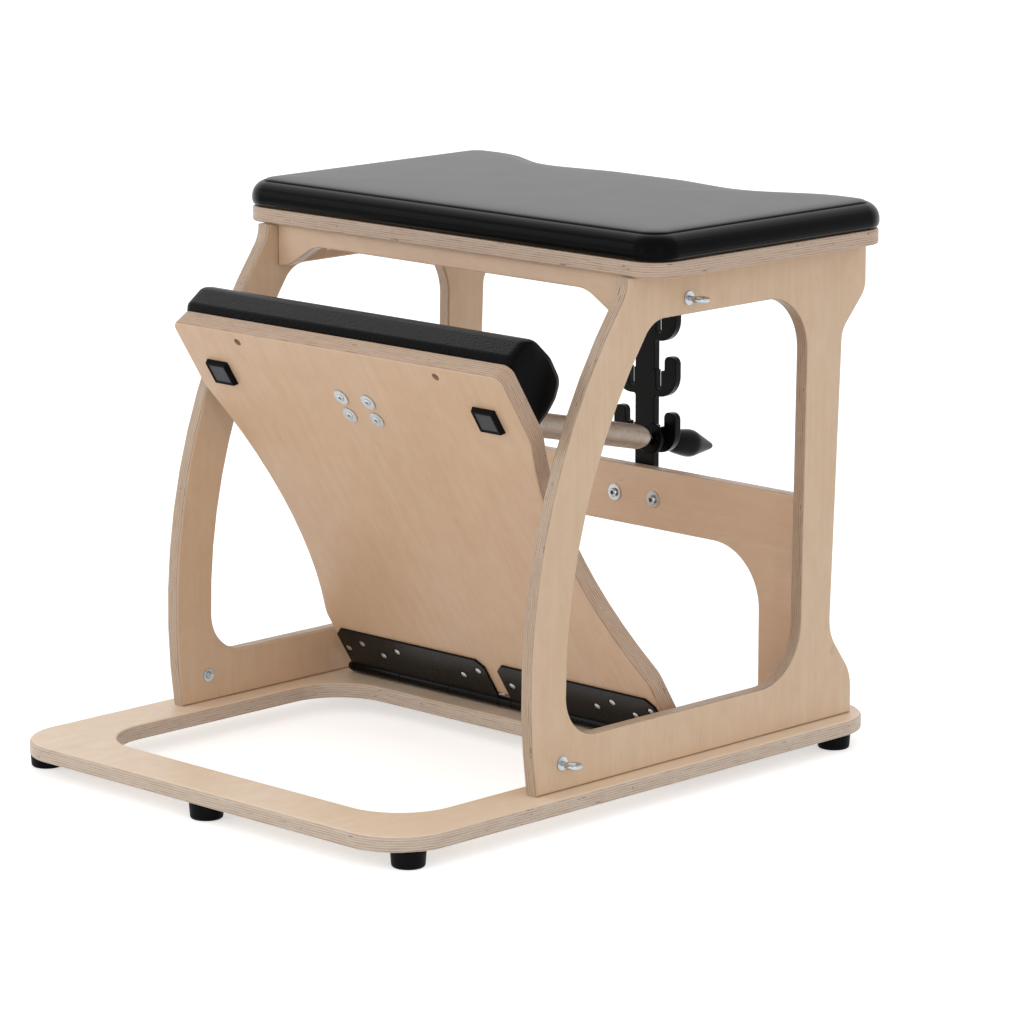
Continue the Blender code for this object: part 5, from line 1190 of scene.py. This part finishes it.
collar = [(COLLAR_BORE, collar_back), (COLLAR_RADIUS - COLLAR_EDGE, collar_back)]
collar += arc(COLLAR_RADIUS - COLLAR_ROUND, collar_front + COLLAR_NOSE, COLLAR_ROUND, 0, -90)
collar += [(COLLAR_BORE + COLLAR_EDGE, collar_front), (COLLAR_BORE, collar_front + COLLAR_EDGE)]
piece(turned(collar, closed=True), nylon, "spring_end", "spring_front_collar", place=spring_place, crease=50)

rim, flat = EYE_RADIUS - EYE_EDGE, EYE_HALF - EYE_EDGE
eye = turned([(EYE_BORE, EYE_HALF), (rim, EYE_HALF), (EYE_RADIUS, flat), (EYE_RADIUS, -flat),
              (rim, -EYE_HALF), (EYE_BORE, -EYE_HALF)], closed=True)
shank = turned([(0.0, SHANK_LENGTH), (SHANK_RADIUS - SHANK_EDGE, SHANK_LENGTH),
                (SHANK_RADIUS, SHANK_LENGTH - SHANK_EDGE), (SHANK_RADIUS, SHANK_START), (0.0, SHANK_START)],
               steps=24)
toward = spring_place.to_3x3() @ Vector((0, 0, 1))
piece(joined((eye, look((1, 0, 0), (0, 0, 0))), (shank, look(toward, (0, 0, 0)))), zinc, "spring_eye",
      "spring_eye", place=Matrix.Translation(pin_spot))

# Studio: a pale seamless floor, an even white sky, and three soft boxes that only model the shapes.
# The camera stands at the photograph's place: in front and to the right, well above the seat.
CAMERA_SPOT = (3.8599, -3.8561, 1.4423)
CAMERA_DOWN = 11.8581
CAMERA_ROUND = 44.3408
CAMERA_RANGE = 200
LENS = 163.97
SKY_LIGHT = 0.88
SOFT_BOXES = {
    "front_box": ((0.17, -3.3, 1.25), (0.14, 2.2), 7.0),
    "right_box": ((3.0, -1.4, 1.25), (0.14, 2.2), 5.0),
    "left_box": ((-2.6, -2.4, 1.7), (1.2, 1.2), 12.0),
}
BOX_AIM = 0.35
FLOOR_SIZE = 60.0
PAPER_LIFT = 0.55

scene = bpy.context.scene
scene.view_settings.view_transform = "Standard"
camera_data = bpy.data.cameras.new("camera")
camera_data.lens = LENS
camera_data.clip_end = CAMERA_RANGE
camera = stand("camera", camera_data)
camera.location = CAMERA_SPOT
camera.rotation_euler = (math.radians(90 - CAMERA_DOWN), 0, math.radians(CAMERA_ROUND))
scene.camera = camera

for name, (spot, (wide, tall), power) in SOFT_BOXES.items():
    lamp_data = bpy.data.lights.new(name, "AREA")
    lamp_data.shape = "RECTANGLE"
    lamp_data.size = wide
    lamp_data.size_y = tall
    lamp_data.energy = power
    stand(name, lamp_data).matrix_world = look(Vector(spot) - Vector((0, 0, BOX_AIM)), spot)


def seen(tree):
    """Is 1 for what the eye sees, also in a mirror or through glass, and 0 for what only carries light."""
    rays = add(tree, "ShaderNodeLightPath").node.outputs
    eye_ray = add(tree, "ShaderNodeMath", {0: rays["Is Camera Ray"], 1: rays["Is Glossy Ray"]},
                  operation="MAXIMUM")
    return add(tree, "ShaderNodeMath", {0: eye_ray, 1: rays["Is Transmission Ray"]}, operation="MAXIMUM")


world = bpy.data.worlds.new("even_sky")
world.use_nodes = True
scene.world = world
tree = world.node_tree
strength = add(tree, "ShaderNodeMapRange", {0: seen(tree), 3: SKY_LIGHT, 4: 1.0})
tree.nodes["Background"].inputs["Color"].default_value = (1, 1, 1, 1)
tree.links.new(strength, tree.nodes["Background"].inputs["Strength"])

# Seamless paper: matt and pale, lifted to white for the eye, with the chair's own faint shadow on it
paper, tree = shading("seamless_paper", Base_Color=linear("E4E4E4"), Roughness=0.9, Specular_IOR_Level=0.1,
                      Emission_Color=(1, 1, 1, 1))
lift_seen = add(tree, "ShaderNodeMath", {0: seen(tree), 1: PAPER_LIFT}, operation="MULTIPLY")
finish(paper, Emission_Strength=lift_seen)
bm = bmesh.new()
bmesh.ops.create_grid(bm, x_segments=2, y_segments=2, size=FLOOR_SIZE / 2)
floor_mesh = mesh_of(bm, "floor")
floor_mesh.materials.append(paper)
stand("floor", floor_mesh)
